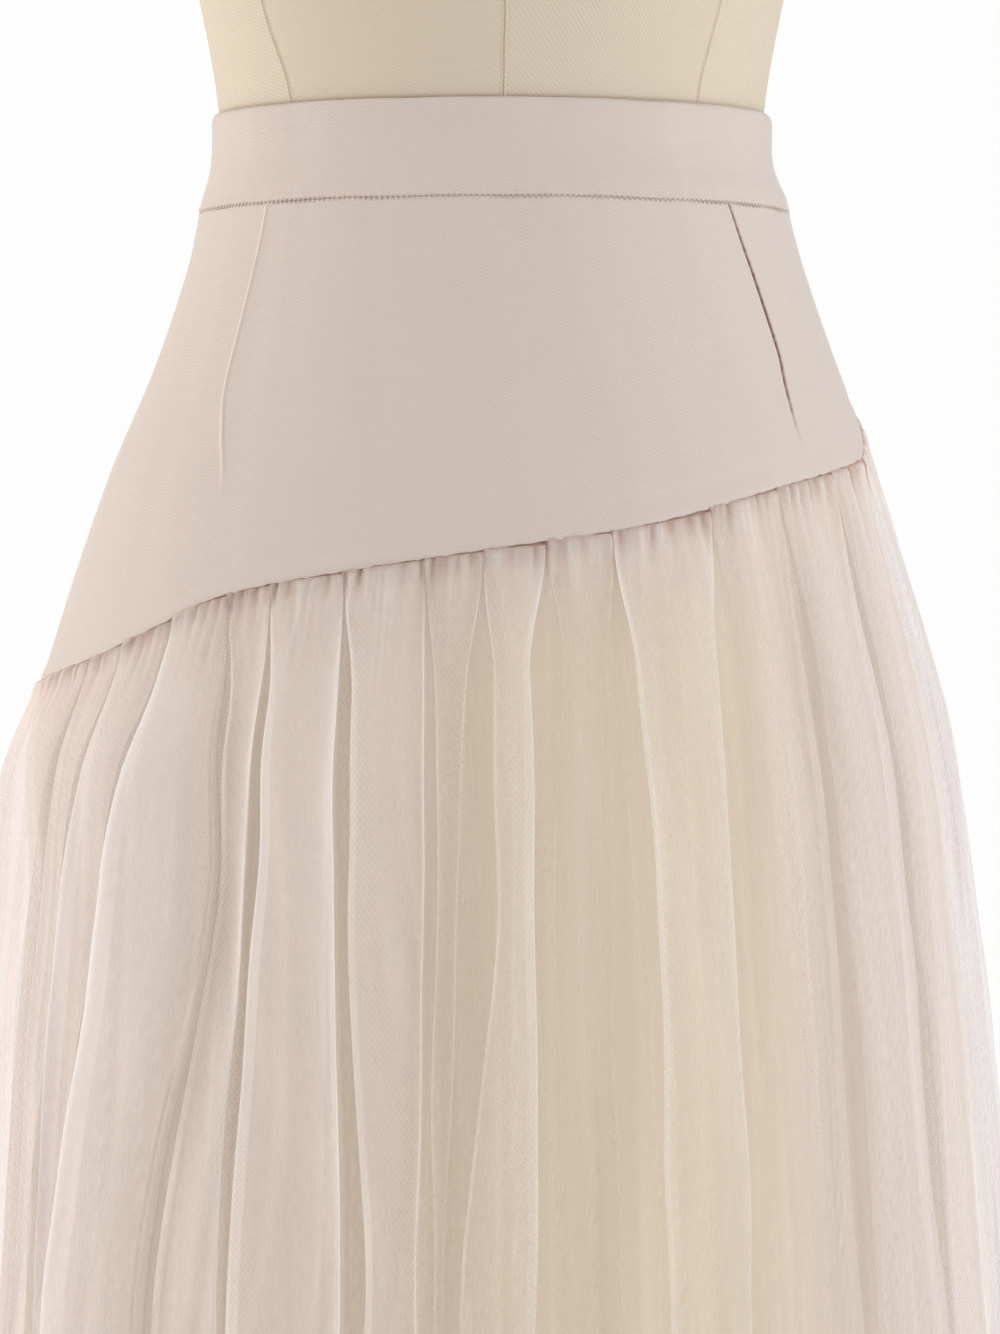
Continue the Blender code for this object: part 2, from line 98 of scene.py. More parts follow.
# The skirt's outer surface, crest to crest, at each height: its reach to the wearer's left and right,
# and its half depth
OUTLINE_COLUMNS = ("height", "reach_left", "reach_right", "half_depth", "centre_y")
OUTLINE = (
    (0.2350, 0.2620, 0.2700, 0.2380, 0.008),
    (0.5428, 0.2330, 0.2440, 0.2070, 0.008),
    (0.6583, 0.2225, 0.2350, 0.1935, 0.008),
    (0.7239, 0.2150, 0.2275, 0.1850, 0.008),
    (0.7895, 0.2065, 0.2165, 0.1725, 0.008),
    (0.8333, 0.1965, 0.1960, 0.1580, 0.008),
    (0.8770, 0.1831, 0.1818, 0.1450, 0.007),
    (0.9208, 0.1690, 0.1665, 0.1320, 0.006),
    (0.9645, 0.1520, 0.1481, 0.1180, 0.004),
    (1.0083, 0.1367, 0.1330, 0.1055, 0.001),
    (1.0325, 0.1300, 0.1277, 0.1000, 0.000),
    (1.0390, 0.1290, 0.1264, 0.0988, 0.000),
    (1.0477, 0.1250, 0.1236, 0.0958, 0.000),
    (1.0565, 0.1226, 0.1222, 0.0938, 0.000),
    (1.0650, 0.1225, 0.1220, 0.0936, 0.000),
    (1.0750, 0.1225, 0.1220, 0.0937, 0.000),
)

# The slanting seam where the yoke ends and the tulle begins
SEAM = (
    (-90, 0.8290),
    (-63, 0.8375),
    (-49, 0.8510),
    (-38, 0.8640),
    (-18, 0.8750),
    (0, 0.8835),
    (20, 0.8930),
    (45, 0.9105),
    (62, 0.9195),
    (70, 0.9232),
    (75, 0.9262),
    (79, 0.9320),
    (84, 0.9395),
    (90, 0.9450),
    (100, 0.9500),
    (125, 0.9570),
    (150, 0.9440),
    (180, 0.9140),
    (210, 0.8790),
    (240, 0.8480),
)

# The tulle's large folds in front: their left and right edges at the seam, at mid height and low down, in degrees,
# how far they stand out, and how crisp each edge is
FRONT_FOLDS = (
    (-87.5, -78.0, -87.2, -77.4, -87.0, -77.0, 0.85, 0.10, 0.20),
    (-75.5, -62.5, -75.0, -61.6, -74.5, -61.0, 1.00, 0.20, 0.35),
    (-60.5, -55.0, -59.6, -55.4, -59.0, -56.0, 0.80, 0.45, 0.45),
    (-53.0, -45.8, -54.0, -47.6, -54.0, -52.2, 0.90, 0.75, 0.30),
    (-44.0, -37.5, -46.4, -31.6, -50.5, -38.5, 1.00, 1.00, 0.30),
    (-35.5, -30.7, -30.6, -27.4, -36.5, -28.4, 0.70, 0.25, 0.75),
    (-29.0, -20.7, -25.6, -16.8, -26.5, -14.6, 1.00, 0.75, 0.90),
    (-18.6, -9.6, -15.0, -6.9, -12.4, -7.4, 1.00, 0.65, 0.45),
    (-8.0, -2.2, -5.9, -3.6, -5.8, -4.6, 0.55, 0.35, 0.40),
    (0.2, 4.2, 0.6, 5.0, -3.0, 4.4, 0.95, 0.50, 1.00),
    (10.5, 15.2, 7.2, 14.0, 8.5, 14.0, 0.35, 0.30, 0.30),
    (17.3, 29.8, 18.6, 27.9, 18.8, 27.5, 1.00, 1.00, 0.85),
    (33.0, 43.2, 32.4, 43.2, 31.2, 43.0, 0.80, 0.30, 0.25),
    (45.5, 57.0, 45.0, 57.6, 45.4, 58.0, 0.90, 0.35, 0.25),
    (59.2, 72.5, 59.8, 73.0, 60.4, 73.5, 0.85, 0.20, 0.15),
    (75.0, 87.5, 75.6, 87.5, 76.0, 87.5, 1.00, 0.15, 0.10),
)
BACK_FOLD_COUNT = 16
FOLD_MID = 0.750
FOLD_LOW = 0.566

# How deep the tulle's folds are, and the layers under it, at each distance below the yoke seam
DEPTH_COLUMNS = ("below_seam", "fold_depth", "under_gap", "under_depth", "lining_gap")
DEPTHS = (
    (0.000, 1.0 * MM, 1.75 * MM, 0.0 * MM, 0.35 * MM),
    (0.010, 2.0 * MM, 1.7 * MM, 0.4 * MM, 0.6 * MM),
    (0.035, 5.5 * MM, 2.0 * MM, 2.0 * MM, 1.3 * MM),
    (0.095, 10.0 * MM, 2.6 * MM, 5.0 * MM, 2.2 * MM),
    (0.240, 12.5 * MM, 3.2 * MM, 7.0 * MM, 3.0 * MM),
    (0.440, 14.0 * MM, 3.4 * MM, 9.0 * MM, 8.0 * MM),
    (0.740, 18.0 * MM, 3.4 * MM, 12.0 * MM, 14.0 * MM),
)

# A fold's edge, from its face round and under to the gap's floor: how far it stands past the face's edge,
# and its share of the fold's depth
FLANK = (
    (0.00, 0.00),
    (0.30, 0.05),
    (0.25, 0.13),
    (-1.00, 0.20),
    (-2.60, 0.30),
    (-3.20, 0.50),
    (-2.20, 0.74),
    (-0.80, 0.91),
    (0.20, 1.00),
)

# How closely the net covers what is behind it: between the folds, and what each part of the folds adds
OPEN_COVER = 0.19
COVER = {
    "far": -0.07,
    "side": 0.04,
    "turned": 0.14,
    "close": 0.23,
    "fold": 0.25,
    "edge": 0.22,
    "gathered": 0.42,
    "slot": -0.16,
    "notch": 0.30,
    "cloud": 0.03,
    "cast": 0.10,
}

# The darts: how much each gapes, how much it stands up as a ridge, and its course up to the waist as (height, angle)
LEFT_COURSE = (
    (0.8600, -39.0),
    (0.9131, -42.2),
    (0.9328, -45.0),
    (0.9488, -47.4),
    (0.9634, -48.4),
    (1.0064, -49.0),
    (1.0340, -48.6),
)
RIGHT_COURSE = (
    (0.9100, 52.6),
    (0.9346, 52.6),
    (0.9541, 53.4),
    (0.9687, 54.4),
    (1.0009, 53.6),
    (1.0197, 52.3),
    (1.0340, 51.0),
)
FRONT_DARTS = ((0.06, 1.0, LEFT_COURSE), (1.0, 0.35, RIGHT_COURSE))
BACK_LEFT_DARTS = ((0.15, 0.7, ((0.950, 140.0), (0.975, 139.5), (1.0340, 138.0))),)
BACK_RIGHT_DARTS = ((0.15, 0.7, ((0.900, 221.0), (0.945, 220.5), (1.0340, 222.0))),)

# The dress form's level sections
FORM_COLUMNS = ("height", "half_width", "half_depth", "centre_y")
FORM_SECTIONS = (
    (0.765, 0.142, 0.104, 0.010),
    (0.785, 0.150, 0.111, 0.010),
    (0.825, 0.157, 0.117, 0.010),
    (0.865, 0.159, 0.119, 0.009),
    (0.905, 0.154, 0.116, 0.008),
    (0.945, 0.1445, 0.1090, 0.005),
    (0.985, 0.1350, 0.1020, 0.002),
    (1.015, 0.1272, 0.0972, 0.000),
    (1.039, 0.1221, 0.0935, 0.000),
    (1.0565, 0.1192, 0.0908, 0.000),
    (1.0750, 0.1191, 0.0908, 0.000),
    (1.100, 0.1225, 0.0930, -0.001),
    (1.140, 0.1306, 0.0980, -0.004),
    (1.185, 0.1402, 0.1055, -0.008),
    (1.230, 0.1490, 0.1145, -0.013),
    (1.270, 0.1555, 0.1190, -0.014),
    (1.310, 0.1640, 0.1120, -0.008),
    (1.350, 0.1720, 0.1000, 0.000),
    (1.385, 0.1730, 0.0860, 0.006),
    (1.410, 0.1500, 0.0740, 0.010),
    (1.430, 0.1120, 0.0640, 0.012),
    (1.445, 0.0800, 0.0580, 0.013),
    (1.462, 0.0600, 0.0560, 0.012),
    (1.490, 0.0545, 0.0550, 0.008),
    (1.520, 0.0540, 0.0550, 0.004),
)
ARM_PLATE_X = 0.158
ARM_PLATE_HEIGHT = 1.345
ARM_PLATE_LEAN = math.radians(10)
ARM_PLATE_FOOT = 1.20
FORM_INSET = 0.25 * MM

# The form's seams: each one's angle at each height
FORM_SEAMS = (
    ((0.78, 2.5), (1.075, 2.5), (1.50, 2.5)),
    (
        *((0.78, -38.0), (1.00, -44.0), (1.078, -46.0), (1.12, -51.0)),
        *((1.20, -52.0), (1.27, -46.0), (1.36, -38.0), (1.43, -46.0)),
    ),
    (
        *((0.78, 41.0), (1.00, 46.0), (1.081, 48.0), (1.12, 51.0)),
        *((1.20, 54.0), (1.27, 50.0), (1.36, 42.0), (1.43, 49.0)),
    ),
    ((0.78, 90.0), (1.075, 90.0), (1.33, 88.0)),
    ((0.78, 180.0), (1.075, 180.0), (1.50, 180.0)),
    ((0.78, 142.0), (1.075, 140.0), (1.25, 138.0), (1.40, 132.0)),
    ((0.78, 218.0), (1.075, 220.0), (1.25, 222.0), (1.40, 228.0)),
    ((0.78, 270.0), (1.075, 270.0), (1.33, 272.0)),
)

# A form seam's section in millimetres: the place across it, and how far inside the linen it lies
SEAM_RIB = ((-1.7, 0.45), (-1.0, -0.22), (-0.3, -0.26), (0.0, 0.20), (0.3, -0.26), (1.0, -0.22), (1.7, 0.45))

# Turned pieces: (radius, height) from the middle of the top round to the middle of the underside
CAP_PROFILE = (
    (0.0, 0.040),
    (0.004, 0.0398),
    (0.008, 0.0385),
    (0.0105, 0.036),
    (0.0108, 0.033),
    (0.0095, 0.030),
    (0.0072, 0.027),
    (0.0065, 0.023),
    (0.0078, 0.020),
    (0.0125, 0.0165),
    (0.022, 0.0140),
    (0.036, 0.0115),
    (0.046, 0.0088),
    (0.0505, 0.0066),
    (0.052, 0.0050),
    (0.052, 0.0006),
    (0.051, 0.0),
    (0.0, 0.0),
)
FOOT_PROFILE = (
    (0.0, 0.024),
    (0.0165, 0.024),
    (0.0178, 0.0235),
    (0.0188, 0.0222),
    (0.024, 0.0213),
    (0.040, 0.0175),
    (0.060, 0.0150),
    (0.120, 0.0118),
    (0.184, 0.0086),
    (0.1895, 0.0079),
    (0.1915, 0.0062),
    (0.192, 0.0045),
    (0.192, 0.0012),
    (0.191, 0.0),
    (0.0, 0.0),
)
COLLAR_PROFILE = (
    (0.0, 0.030),
    (0.0272, 0.030),
    (0.028, 0.0292),
    (0.028, 0.0248),
    (0.0272, 0.024),
    (0.0215, 0.0215),
    (0.019, 0.0185),
    (0.019, 0.0010),
    (0.0182, 0.0),
    (0.0, 0.0),
)

# The lamps: each one's place, width and height, power and colour
LAMPS = (
    ("key_left", (-2.45, -0.25, 1.5), (1.6, 2.4), 45, (1.0, 0.955, 0.90)),
    ("key_right", (2.2, -1.15, 1.5), (1.6, 2.4), 38, (0.965, 0.99, 1.0)),
    ("fill_front", (0.3, -3.8, 1.5), (2.0, 1.6), 7, (1.0, 0.985, 0.965)),
    ("fill_back", (0.0, 3.0, 2.0), (2.4, 1.8), 40, (1.0, 0.99, 0.98)),
)


def table_column(rows, names, name):
    """The (first column, named column) pairs of a table."""
    at = names.index(name)
    return [(row[0], row[at]) for row in rows]


def curve(points, x):
    """A smooth curve through (x, y) points in rising order of x, read at each value of an array."""
    xs, ys = np.array(points, float).T
    slopes = np.empty_like(ys)
    slopes[1:-1] = (ys[2:] - ys[:-2]) / (xs[2:] - xs[:-2])
    slopes[0] = (ys[1] - ys[0]) / (xs[1] - xs[0])
    slopes[-1] = (ys[-1] - ys[-2]) / (xs[-1] - xs[-2])
    x = np.clip(np.asarray(x, float), xs[0], xs[-1])
    i = np.clip(np.searchsorted(xs, x, side="right") - 1, 0, len(xs) - 2)
    span = xs[i + 1] - xs[i]
    t = (x - xs[i]) / span
    rise = t * t * (3 - 2 * t)
    return ys[i] + (ys[i + 1] - ys[i]) * rise + span * t * (1 - t) * (slopes[i] * (1 - t) - slopes[i + 1] * t)


REACH_LEFT, REACH_RIGHT, HALF_DEPTHS, CENTRES = (table_column(OUTLINE, OUTLINE_COLUMNS, n) for n in OUTLINE_COLUMNS[1:])
FOLD_DEPTH, UNDER_GAP, UNDER_DEPTH, LINING_GAP = (table_column(DEPTHS, DEPTH_COLUMNS, n) for n in DEPTH_COLUMNS[1:])
SEAM_ROUND = [(angle + turn, height) for turn in (-360, 0, 360) for angle, height in SEAM]


def seam_height(angle):
    """How high the seam under the yoke runs at each angle."""
    return curve(SEAM_ROUND, (np.asarray(angle, float) + 180) % 360 - 180)


def ellipse(angle, reach, depth, centre, height, inward):
    """Points on a level ellipse, or that far inside it along its level normal."""
    turn = np.radians(angle)
    out_x, out_y = np.sin(turn) / reach, -np.cos(turn) / depth
    length = np.hypot(out_x, out_y)
    x = reach * np.sin(turn) - out_x / length * inward
    y = centre - depth * np.cos(turn) - out_y / length * inward
    return np.stack(np.broadcast_arrays(x, y, height), axis=-1)


def skin(angle, height, inward=0.0):
    """Points on the skirt's outer surface, or that far inside it."""
    reach = np.where(np.sin(np.radians(angle)) > 0, curve(REACH_LEFT, height), curve(REACH_RIGHT, height))
    return ellipse(angle, reach, curve(HALF_DEPTHS, height), curve(CENTRES, height), height, inward)


def smooth(x):
    """0 below 0, 1 above 1, and a soft step between."""
    x = np.clip(x, 0, 1)
    return x * x * (3 - 2 * x)


def bell(x, centre, width, power=2):
    """1 at the centre, and falling softly to 0 on both sides."""
    return np.exp(-(((x - centre) / width) ** power))


def wander(x, pitch, seed):
    """A soft uneven wave from -1 to 1, the same each time."""
    turns = np.asarray(x, float) / pitch * math.tau
    wave = np.sin(turns + seed * 2.1) + 0.6 * np.sin(turns * 1.73 + seed * 5.3)
    wave += 0.4 * np.sin(turns * 2.91 + seed * 3.7)
    return wave / 2.0


def metres_per_degree(height):
    """How long one degree round the skirt is, between its side and its front."""
    return math.radians(1) * (curve(REACH_LEFT, height) + curve(HALF_DEPTHS, height)) / 2


# Meshes and nodes


def deselect():
    """Deselects every object."""
    for thing in bpy.context.scene.objects:
        thing.select_set(False)


def activate(piece):
    """Selects one piece alone and makes it the active one."""
    deselect()
    piece.select_set(True)
    bpy.context.view_layer.objects.active = piece


def new_object(mesh, finish):
    """A smoothly shaded object round a mesh, under the same name."""
    mesh.shade_smooth()
    mesh.materials.append(finish)
    made = bpy.data.objects.new(mesh.name, mesh)
    bpy.context.scene.collection.objects.link(made)
    return made


def finish_piece(piece, body, slot, *nodes):
    """Says which body carries a piece, and hides the CAD nodes it replaces; its slot is not used."""
    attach(piece, body)
    if nodes:
        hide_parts(*nodes)
    return piece


def lengths_along(grid, axis):
    """The distance run along a grid of points, from its first row or column."""
    steps = np.linalg.norm(np.diff(grid, axis=axis), axis=-1)
    zero = np.zeros_like(np.take(steps, [0], axis=axis))
    return np.concatenate([zero, np.cumsum(steps, axis=axis)], axis=axis)


def cloth(name, grid, finish, marks=None, wall=0.0, loop=False):
    """A sheet through a grid of points, rows upwards and columns to the right as seen from outside."""
    rows, columns = grid.shape[:2]
    across = columns if loop else columns - 1
    row, column = np.meshgrid(np.arange(rows - 1), np.arange(across), indexing="ij")
    left, right = row * columns + column, row * columns + (column + 1) % columns
    quads = np.stack([left, right, right + columns, left + columns], -1).reshape(-1, 4)
    mesh = bpy.data.meshes.new(name)
    mesh.vertices.add(rows * columns)
    mesh.vertices.foreach_set("co", grid.reshape(-1).astype(np.float32))
    mesh.loops.add(quads.size)
    mesh.loops.foreach_set("vertex_index", quads.reshape(-1).astype(np.int32))
    mesh.polygons.add(len(quads))
    mesh.polygons.foreach_set("loop_start", np.arange(0, quads.size, 4, dtype=np.int32))
    mesh.update(calc_edges=True)
    mesh.validate()
    along = lengths_along(np.concatenate([grid, grid[:, :1]], axis=1) if loop else grid, 1)
    along -= along[:, columns // 2][:, None]
    up = lengths_along(grid, 0)
    layer = mesh.uv_layers.new(name="cloth")
    flat = np.stack([along[:, :columns], up], -1).reshape(-1, 2)[quads]
    if loop:
        joins = quads[:, 0] % columns == columns - 1
        flat[joins, 1, 0], flat[joins, 2, 0] = along[:-1, -1], along[1:, -1]
    layer.data.foreach_set("uv", flat.reshape(-1).astype(np.float32))
    for mark, values in (marks or {}).items():
        triple = np.ndim(values) == 3
        attribute = mesh.attributes.new(mark, "FLOAT_VECTOR" if triple else "FLOAT", "POINT")
        numbers = values if triple else np.broadcast_to(values, (rows, columns))
        attribute.data.foreach_set("vector" if triple else "value", numbers.reshape(-1).astype(np.float32))
    made = new_object(mesh, finish)
    if wall:
        solid = made.modifiers.new("Wall", "SOLIDIFY")
        solid.thickness = wall
        solid.offset = -1
        activate(made)
        bpy.ops.object.modifier_apply(modifier=solid.name)
    return made


class Shades:
    """The nodes of one material, added and linked by short calls."""

    def __init__(self, name, colour, roughness, **sockets):
        self.material = bpy.data.materials.new(name)
        self.material.use_nodes = True
        self.tree = self.material.node_tree
        self.shader = self.tree.nodes["Principled BSDF"]
        self.set("Base Color", (*colour, 1.0))
        self.set("Roughness", roughness)
        for socket, value in sockets.items():
            self.set(socket.replace("_", " "), value)

    def set(self, socket, value):
        """Sets a value of the shader."""
        self.shader.inputs[socket].default_value = value

    def link(self, source, target):
        """Links two sockets."""
        self.tree.links.new(source, target)

    def to(self, socket, source):
        """Links a source to the shader."""
        self.link(source, self.shader.inputs[socket])

    def add(self, kind, inputs=None, **settings):
        """Adds a node with its settings, and sets or links its inputs."""
        made = self.tree.nodes.new(kind)
        for key, value in settings.items():
            setattr(made, key, value)
        for key, value in (inputs or {}).items():
            if isinstance(value, bpy.types.NodeSocket):
                self.link(value, made.inputs[key])
            else:
                made.inputs[key].default_value = value
        return made

    def maths(self, operation, *values):
        """The result of one sum of numbers or sources."""
        return self.add("ShaderNodeMath", dict(enumerate(values)), operation=operation).outputs[0]

    def uv(self):
        """A place on the flat cloth, in metres."""
        return self.add("ShaderNodeUVMap", uv_map="cloth").outputs["UV"]

    def place(self):
        """A place in the room, in metres."""
        return self.add("ShaderNodeTexCoord").outputs["Object"]

    def mark(self, name):
        """The number that a mark of the mesh holds at each point."""
        return self.add("ShaderNodeAttribute", attribute_name=name).outputs["Fac"]

    def marks(self, name):
        """The three numbers of a mark that holds three."""
        triple = self.add("ShaderNodeAttribute", attribute_name=name).outputs["Vector"]
        return self.add("ShaderNodeSeparateXYZ", {"Vector": triple}).outputs

    def noise(self, source, pitch, detail=2.0, stretch=(1, 1, 1), dimensions="3D"):
        """A soft cloud from about 0 to 1, its lumps a pitch apart."""
        scale = tuple(s / pitch for s in stretch)
        scaled = self.add("ShaderNodeVectorMath", {0: source, 1: scale}, operation="MULTIPLY").outputs[0]
        inputs = {"Vector": scaled, "Scale": 1.0, "Detail": detail}
        return self.add("ShaderNodeTexNoise", inputs, noise_dimensions=dimensions).outputs["Fac"]

    def lines(self, source, pitch, degrees):
        """Soft parallel lines from 0 to 1 across a flat pattern, a pitch apart."""
        turn = math.radians(degrees)
        across = (math.cos(turn) * math.tau / pitch, math.sin(turn) * math.tau / pitch, 0)
        dot = self.add("ShaderNodeVectorMath", {0: source, 1: across}, operation="DOT_PRODUCT").outputs["Value"]
        return self.maths("MULTIPLY_ADD", self.maths("SINE", dot), 0.5, 0.5)

    def between(self, factor, low, high):
        """A number that runs from low to high as the factor goes from 0 to 1."""
        return self.add("ShaderNodeMapRange", {"Value": factor, "To Min": low, "To Max": high}).outputs[0]

    def mix(self, factor, first, second):
        """A colour between two colours, from the first at 0 to the second at 1."""
        made = self.add("ShaderNodeMix", data_type="RGBA")
        for index, value in ((0, factor), (6, first), (7, second)):
            if isinstance(value, bpy.types.NodeSocket):
                self.link(value, made.inputs[index])
            else:
                made.inputs[index].default_value = (*value, 1.0) if index else value
        return made.outputs[2]

    def bump(self, height, distance, strength=1.0):
        """Gives the surface a fine relief."""
        made = self.add("ShaderNodeBump", {"Height": height, "Distance": distance, "Strength": strength})
        self.to("Normal", made.outputs[0])


def tint(colour, factor):
    """A colour made lighter or darker, and no brighter than full white."""
    return tuple(min(1.0, c * factor) for c in colour)


# Sizes and colours


def length_property(name, description, default):
    """A length that a maker can set."""
    return bpy.props.FloatProperty(
        name=name, description=description, default=default, subtype="DISTANCE", unit="LENGTH"
    )


def colour_property(name, description, default):
    """A colour that a maker can set."""
    return bpy.props.FloatVectorProperty(
        name=name, description=description, default=default, subtype="COLOR", size=3, min=0, max=1
    )


class SkirtSizes(bpy.types.PropertyGroup):
    """The sizes that a maker would change."""

    net_pitch: length_property("Net pitch", "From one thread of the net to the next", 1.9 * MM)
    weave_pitch: length_property("Weave pitch", "From one slanting row of bird's eyes to the next", 1.48 * MM)
    stitch: length_property("Stitch length", "From one stitch of the waistband to the next", 2.4 * MM)
    gather: length_property("Gather height", "How far the small gathers at the yoke stand out", 2.0 * MM)
    edge_fold: length_property("Fold edge", "The scale of how far a fold's edge turns under its face", 1.0 * MM)


class SkirtColours(bpy.types.PropertyGroup):
    """The colours that a maker would change."""

    yoke: colour_property("Yoke", "The firm cloth of the waistband and yoke", (0.628, 0.543, 0.489))
    tulle: colour_property("Tulle", "The outer net", (0.99, 0.915, 0.878))
    under: colour_property("Under tulle", "The net under it", (0.95, 0.875, 0.83))
    lining: colour_property("Lining", "The opaque satin", (0.715, 0.610, 0.448))
    linen: colour_property("Linen", "The form's cover", (0.672, 0.582, 0.458))
    thread: colour_property("Thread", "The waistband's stitches", (0.66, 0.56, 0.49))
    metal: colour_property("Stand", "The stand's paint", (0.10, 0.095, 0.09))
    wood: colour_property("Cap", "The turned cap's wood", (0.36, 0.21, 0.11))


def sizes():
    """The sizes set in the scene."""
    return bpy.context.scene.skirt_sizes


def colours():
    """The colours set in the scene."""
    return bpy.context.scene.skirt_colours


# Finishes


def made_once(name):
    """Makes a finish under its name the first time it is asked for, and finds it again after that."""

    def wrap(make):
        @functools.wraps(make)
        def finish():
            return bpy.data.materials.get(name) or make(name)

        return finish

    return wrap


@made_once("birdseye_cloth")
def yoke_finish(name):
    """Firm bird's-eye cloth: small raised eyes in diagonal rows, and a slight mottle. It also carries a painted
    highlight on the darts' crests, and painted shade in the darts' gapes and between the waistband's stitches.
    """
    colour, pitch = tuple(colours().yoke), sizes().weave_pitch
    shades = Shades(name, colour, 0.82, Sheen_Weight=0.25, Sheen_Roughness=0.5, Specular_IOR_Level=0.25)
    flat = shades.uv()
    eyes = shades.maths("MULTIPLY", shades.lines(flat, pitch, 55), shades.lines(flat, pitch, -55))
    mottle = shades.noise(flat, 0.035, 3.0)
    raised = shades.maths("MULTIPLY", eyes, shades.mark("weave"))
    tone = shades.mix(raised, tint(colour, 0.985), tint(colour, 1.18))
    tone = shades.mix(mottle, shades.mix(0.08, tone, (0.48, 0.41, 0.38)), shades.mix(0.08, tone, (0.76, 0.64, 0.57)))
    # Painted highlight: the crest mark lightens the cloth along each dart's pressed crest and on the lip of its gape.
    tone = shades.mix(shades.mark("crest"), tone, tint(colour, 1.22))
    # Painted shade: the slit mark darkens the cloth to brown in each dart's gape and in a soft line inside a pressed
    # dart's ridge.
    tone = shades.mix(shades.mark("slit"), tone, (0.27, 0.14, 0.085))
    # Painted shade: dark dots a stitch apart along the waistband's lip stand for the dimples that its stitches pull in.
    stitch_dimple_shade = shades.maths("POWER", shades.lines(flat, sizes().stitch, 0), 2.0)
    tone = shades.mix(shades.maths("MULTIPLY", stitch_dimple_shade, shades.mark("lip")), tone, (0.40, 0.28, 0.22))
    shades.to("Base Color", tone)
    shades.bump(raised, 0.22 * MM, 1.0)
    return shades.material


def net_finish(name, colour, thread):
    """Sheer net that glows with light from either side, as close as its cover mark says.

    Its threads show as much as the thread value says.
    """
    shades = Shades(name, colour, 0.65, Sheen_Weight=0.0, Specular_IOR_Level=0.25 if thread else 0.0)
    cover, side, weave = shades.marks("net_cover")
    edge, gathered, notch = shades.marks("net_tint")
    if thread:
        flat, pitch = shades.uv(), sizes().net_pitch
        streaks = shades.noise(flat, 1.0 * MM, 0.0, (1.0, 0.18, 1.0), "2D")
        threads = shades.maths("MAXIMUM", shades.lines(flat, pitch, 35), shades.lines(flat, pitch, -35))
        cover = shades.maths("MULTIPLY_ADD", shades.between(threads, -thread, thread * 0.5), weave, cover)
        swing = shades.between(streaks, -1.0, 1.0)
        cover = shades.maths("MULTIPLY_ADD", swing, shades.between(side, 0.03, 0.11), cover)
        cover = shades.add("ShaderNodeClamp", {"Value": cover, "Min": 0.03, "Max": 0.97}).outputs[0]
    # Painted light: the side mark turns the net cooler towards the skirt's sides, where it is seen against the light.
    tone = shades.mix(side, colour, (colour[0] * 0.965, colour[1] * 0.985, min(1.0, colour[2] * 1.05)))
    tone = shades.mix(gathered, tone, (min(1.0, colour[0] * 1.04), colour[1] * 0.985, colour[2] * 0.975))
    # Painted shade: the notch mark darkens the net to a brownish pink in the gathers' notches, at the tops of the gaps
    # and under the yoke's seam.
    tone = shades.mix(notch, tone, (colour[0] * 0.60, colour[1] * 0.42, colour[2] * 0.34))
    # Painted highlight: the edge mark lightens the net along fold edges, the gathers' ridges and the veils' lines.
    tone = shades.mix(edge, tone, tint(colour, 1.13))
    shades.to("Base Color", tone)
    lit = shades.add("ShaderNodeBsdfTranslucent", {"Color": tone})
    clear_net = shades.add("ShaderNodeBsdfTransparent")
    net = shades.add("ShaderNodeMixShader", {0: 0.45, 1: shades.shader.outputs[0], 2: lit.outputs[0]})
    whole = shades.add("ShaderNodeMixShader", {0: cover, 1: clear_net.outputs[0], 2: net.outputs[0]})
    shades.link(whole.outputs[0], shades.tree.nodes["Material Output"].inputs["Surface"])
    return shades.material


@made_once("lining_satin")
def satin_finish(name):
    """The lining's soft satin: a very fine weave and long faint streaks."""
    colour = tuple(colours().lining)
    shades = Shades(name, colour, 0.48, Sheen_Weight=0.15, Specular_IOR_Level=0.35)
    flat = shades.uv()
    streaks = shades.noise(flat, 0.02, 3.0, (1.0, 0.05, 1.0))
    weave = shades.lines(flat, 0.6 * MM, 20)
    shades.to("Base Color", shades.mix(streaks, tint(colour, 0.95), tint(colour, 1.05)))
    shades.to("Roughness", shades.between(streaks, 0.42, 0.56))
    shades.bump(weave, 0.03 * MM, 0.4)
    return shades.material


@made_once("linen_cover")
def linen_finish(name):
    """Natural linen: a twill weave with slubs, darker in the seams' thread lines, with painted shade on the front
    panels and a painted shadow line along the waistband's top edge.
    """
    colour = tuple(colours().linen)
    shades = Shades(name, colour, 0.9, Sheen_Weight=0.2, Specular_IOR_Level=0.2)
    flat = shades.uv()
    warp, weft = shades.lines(flat, 1.6 * MM, 52), shades.lines(flat, 1.6 * MM, -38)
    weave = shades.maths("MULTIPLY", warp, shades.between(weft, 0.55, 1.0))
    slub = shades.noise(flat, 0.004, 2.0, (0.15, 1.0, 1.0))
    tone = shades.mix(weave, tint(colour, 0.95), tint(colour, 1.07))
    tone = shades.mix(slub, shades.mix(0.15, tone, tint(colour, 0.78)), tone)
    # Painted shade: the panel mark darkens the front panels between the princess seams, for their grain's different
    # sheen.
    tone = shades.mix(shades.mark("panel"), tone, tint(colour, 0.91))
    # The seam mark browns the thread lines of the form's seams; on the torso it is a painted shadow line along the
    # waistband's top edge.
    tone = shades.mix(shades.maths("MULTIPLY", shades.mark("seam"), 0.8), tone, (0.33, 0.21, 0.11))
    shades.to("Base Color", tone)
    shades.bump(shades.maths("ADD", weave, slub), 0.12 * MM, 0.6)
    return shades.material


@made_once("sewing_thread")
def thread_finish(name):
    """Matt sewing thread, a little uneven in tone."""
    colour = tuple(colours().thread)
    shades = Shades(name, colour, 0.7, Sheen_Weight=0.2)
    place = shades.place()
    shades.to("Base Color", shades.mix(shades.noise(place, 0.0008), tint(colour, 0.9), tint(colour, 1.1)))
    return shades.material


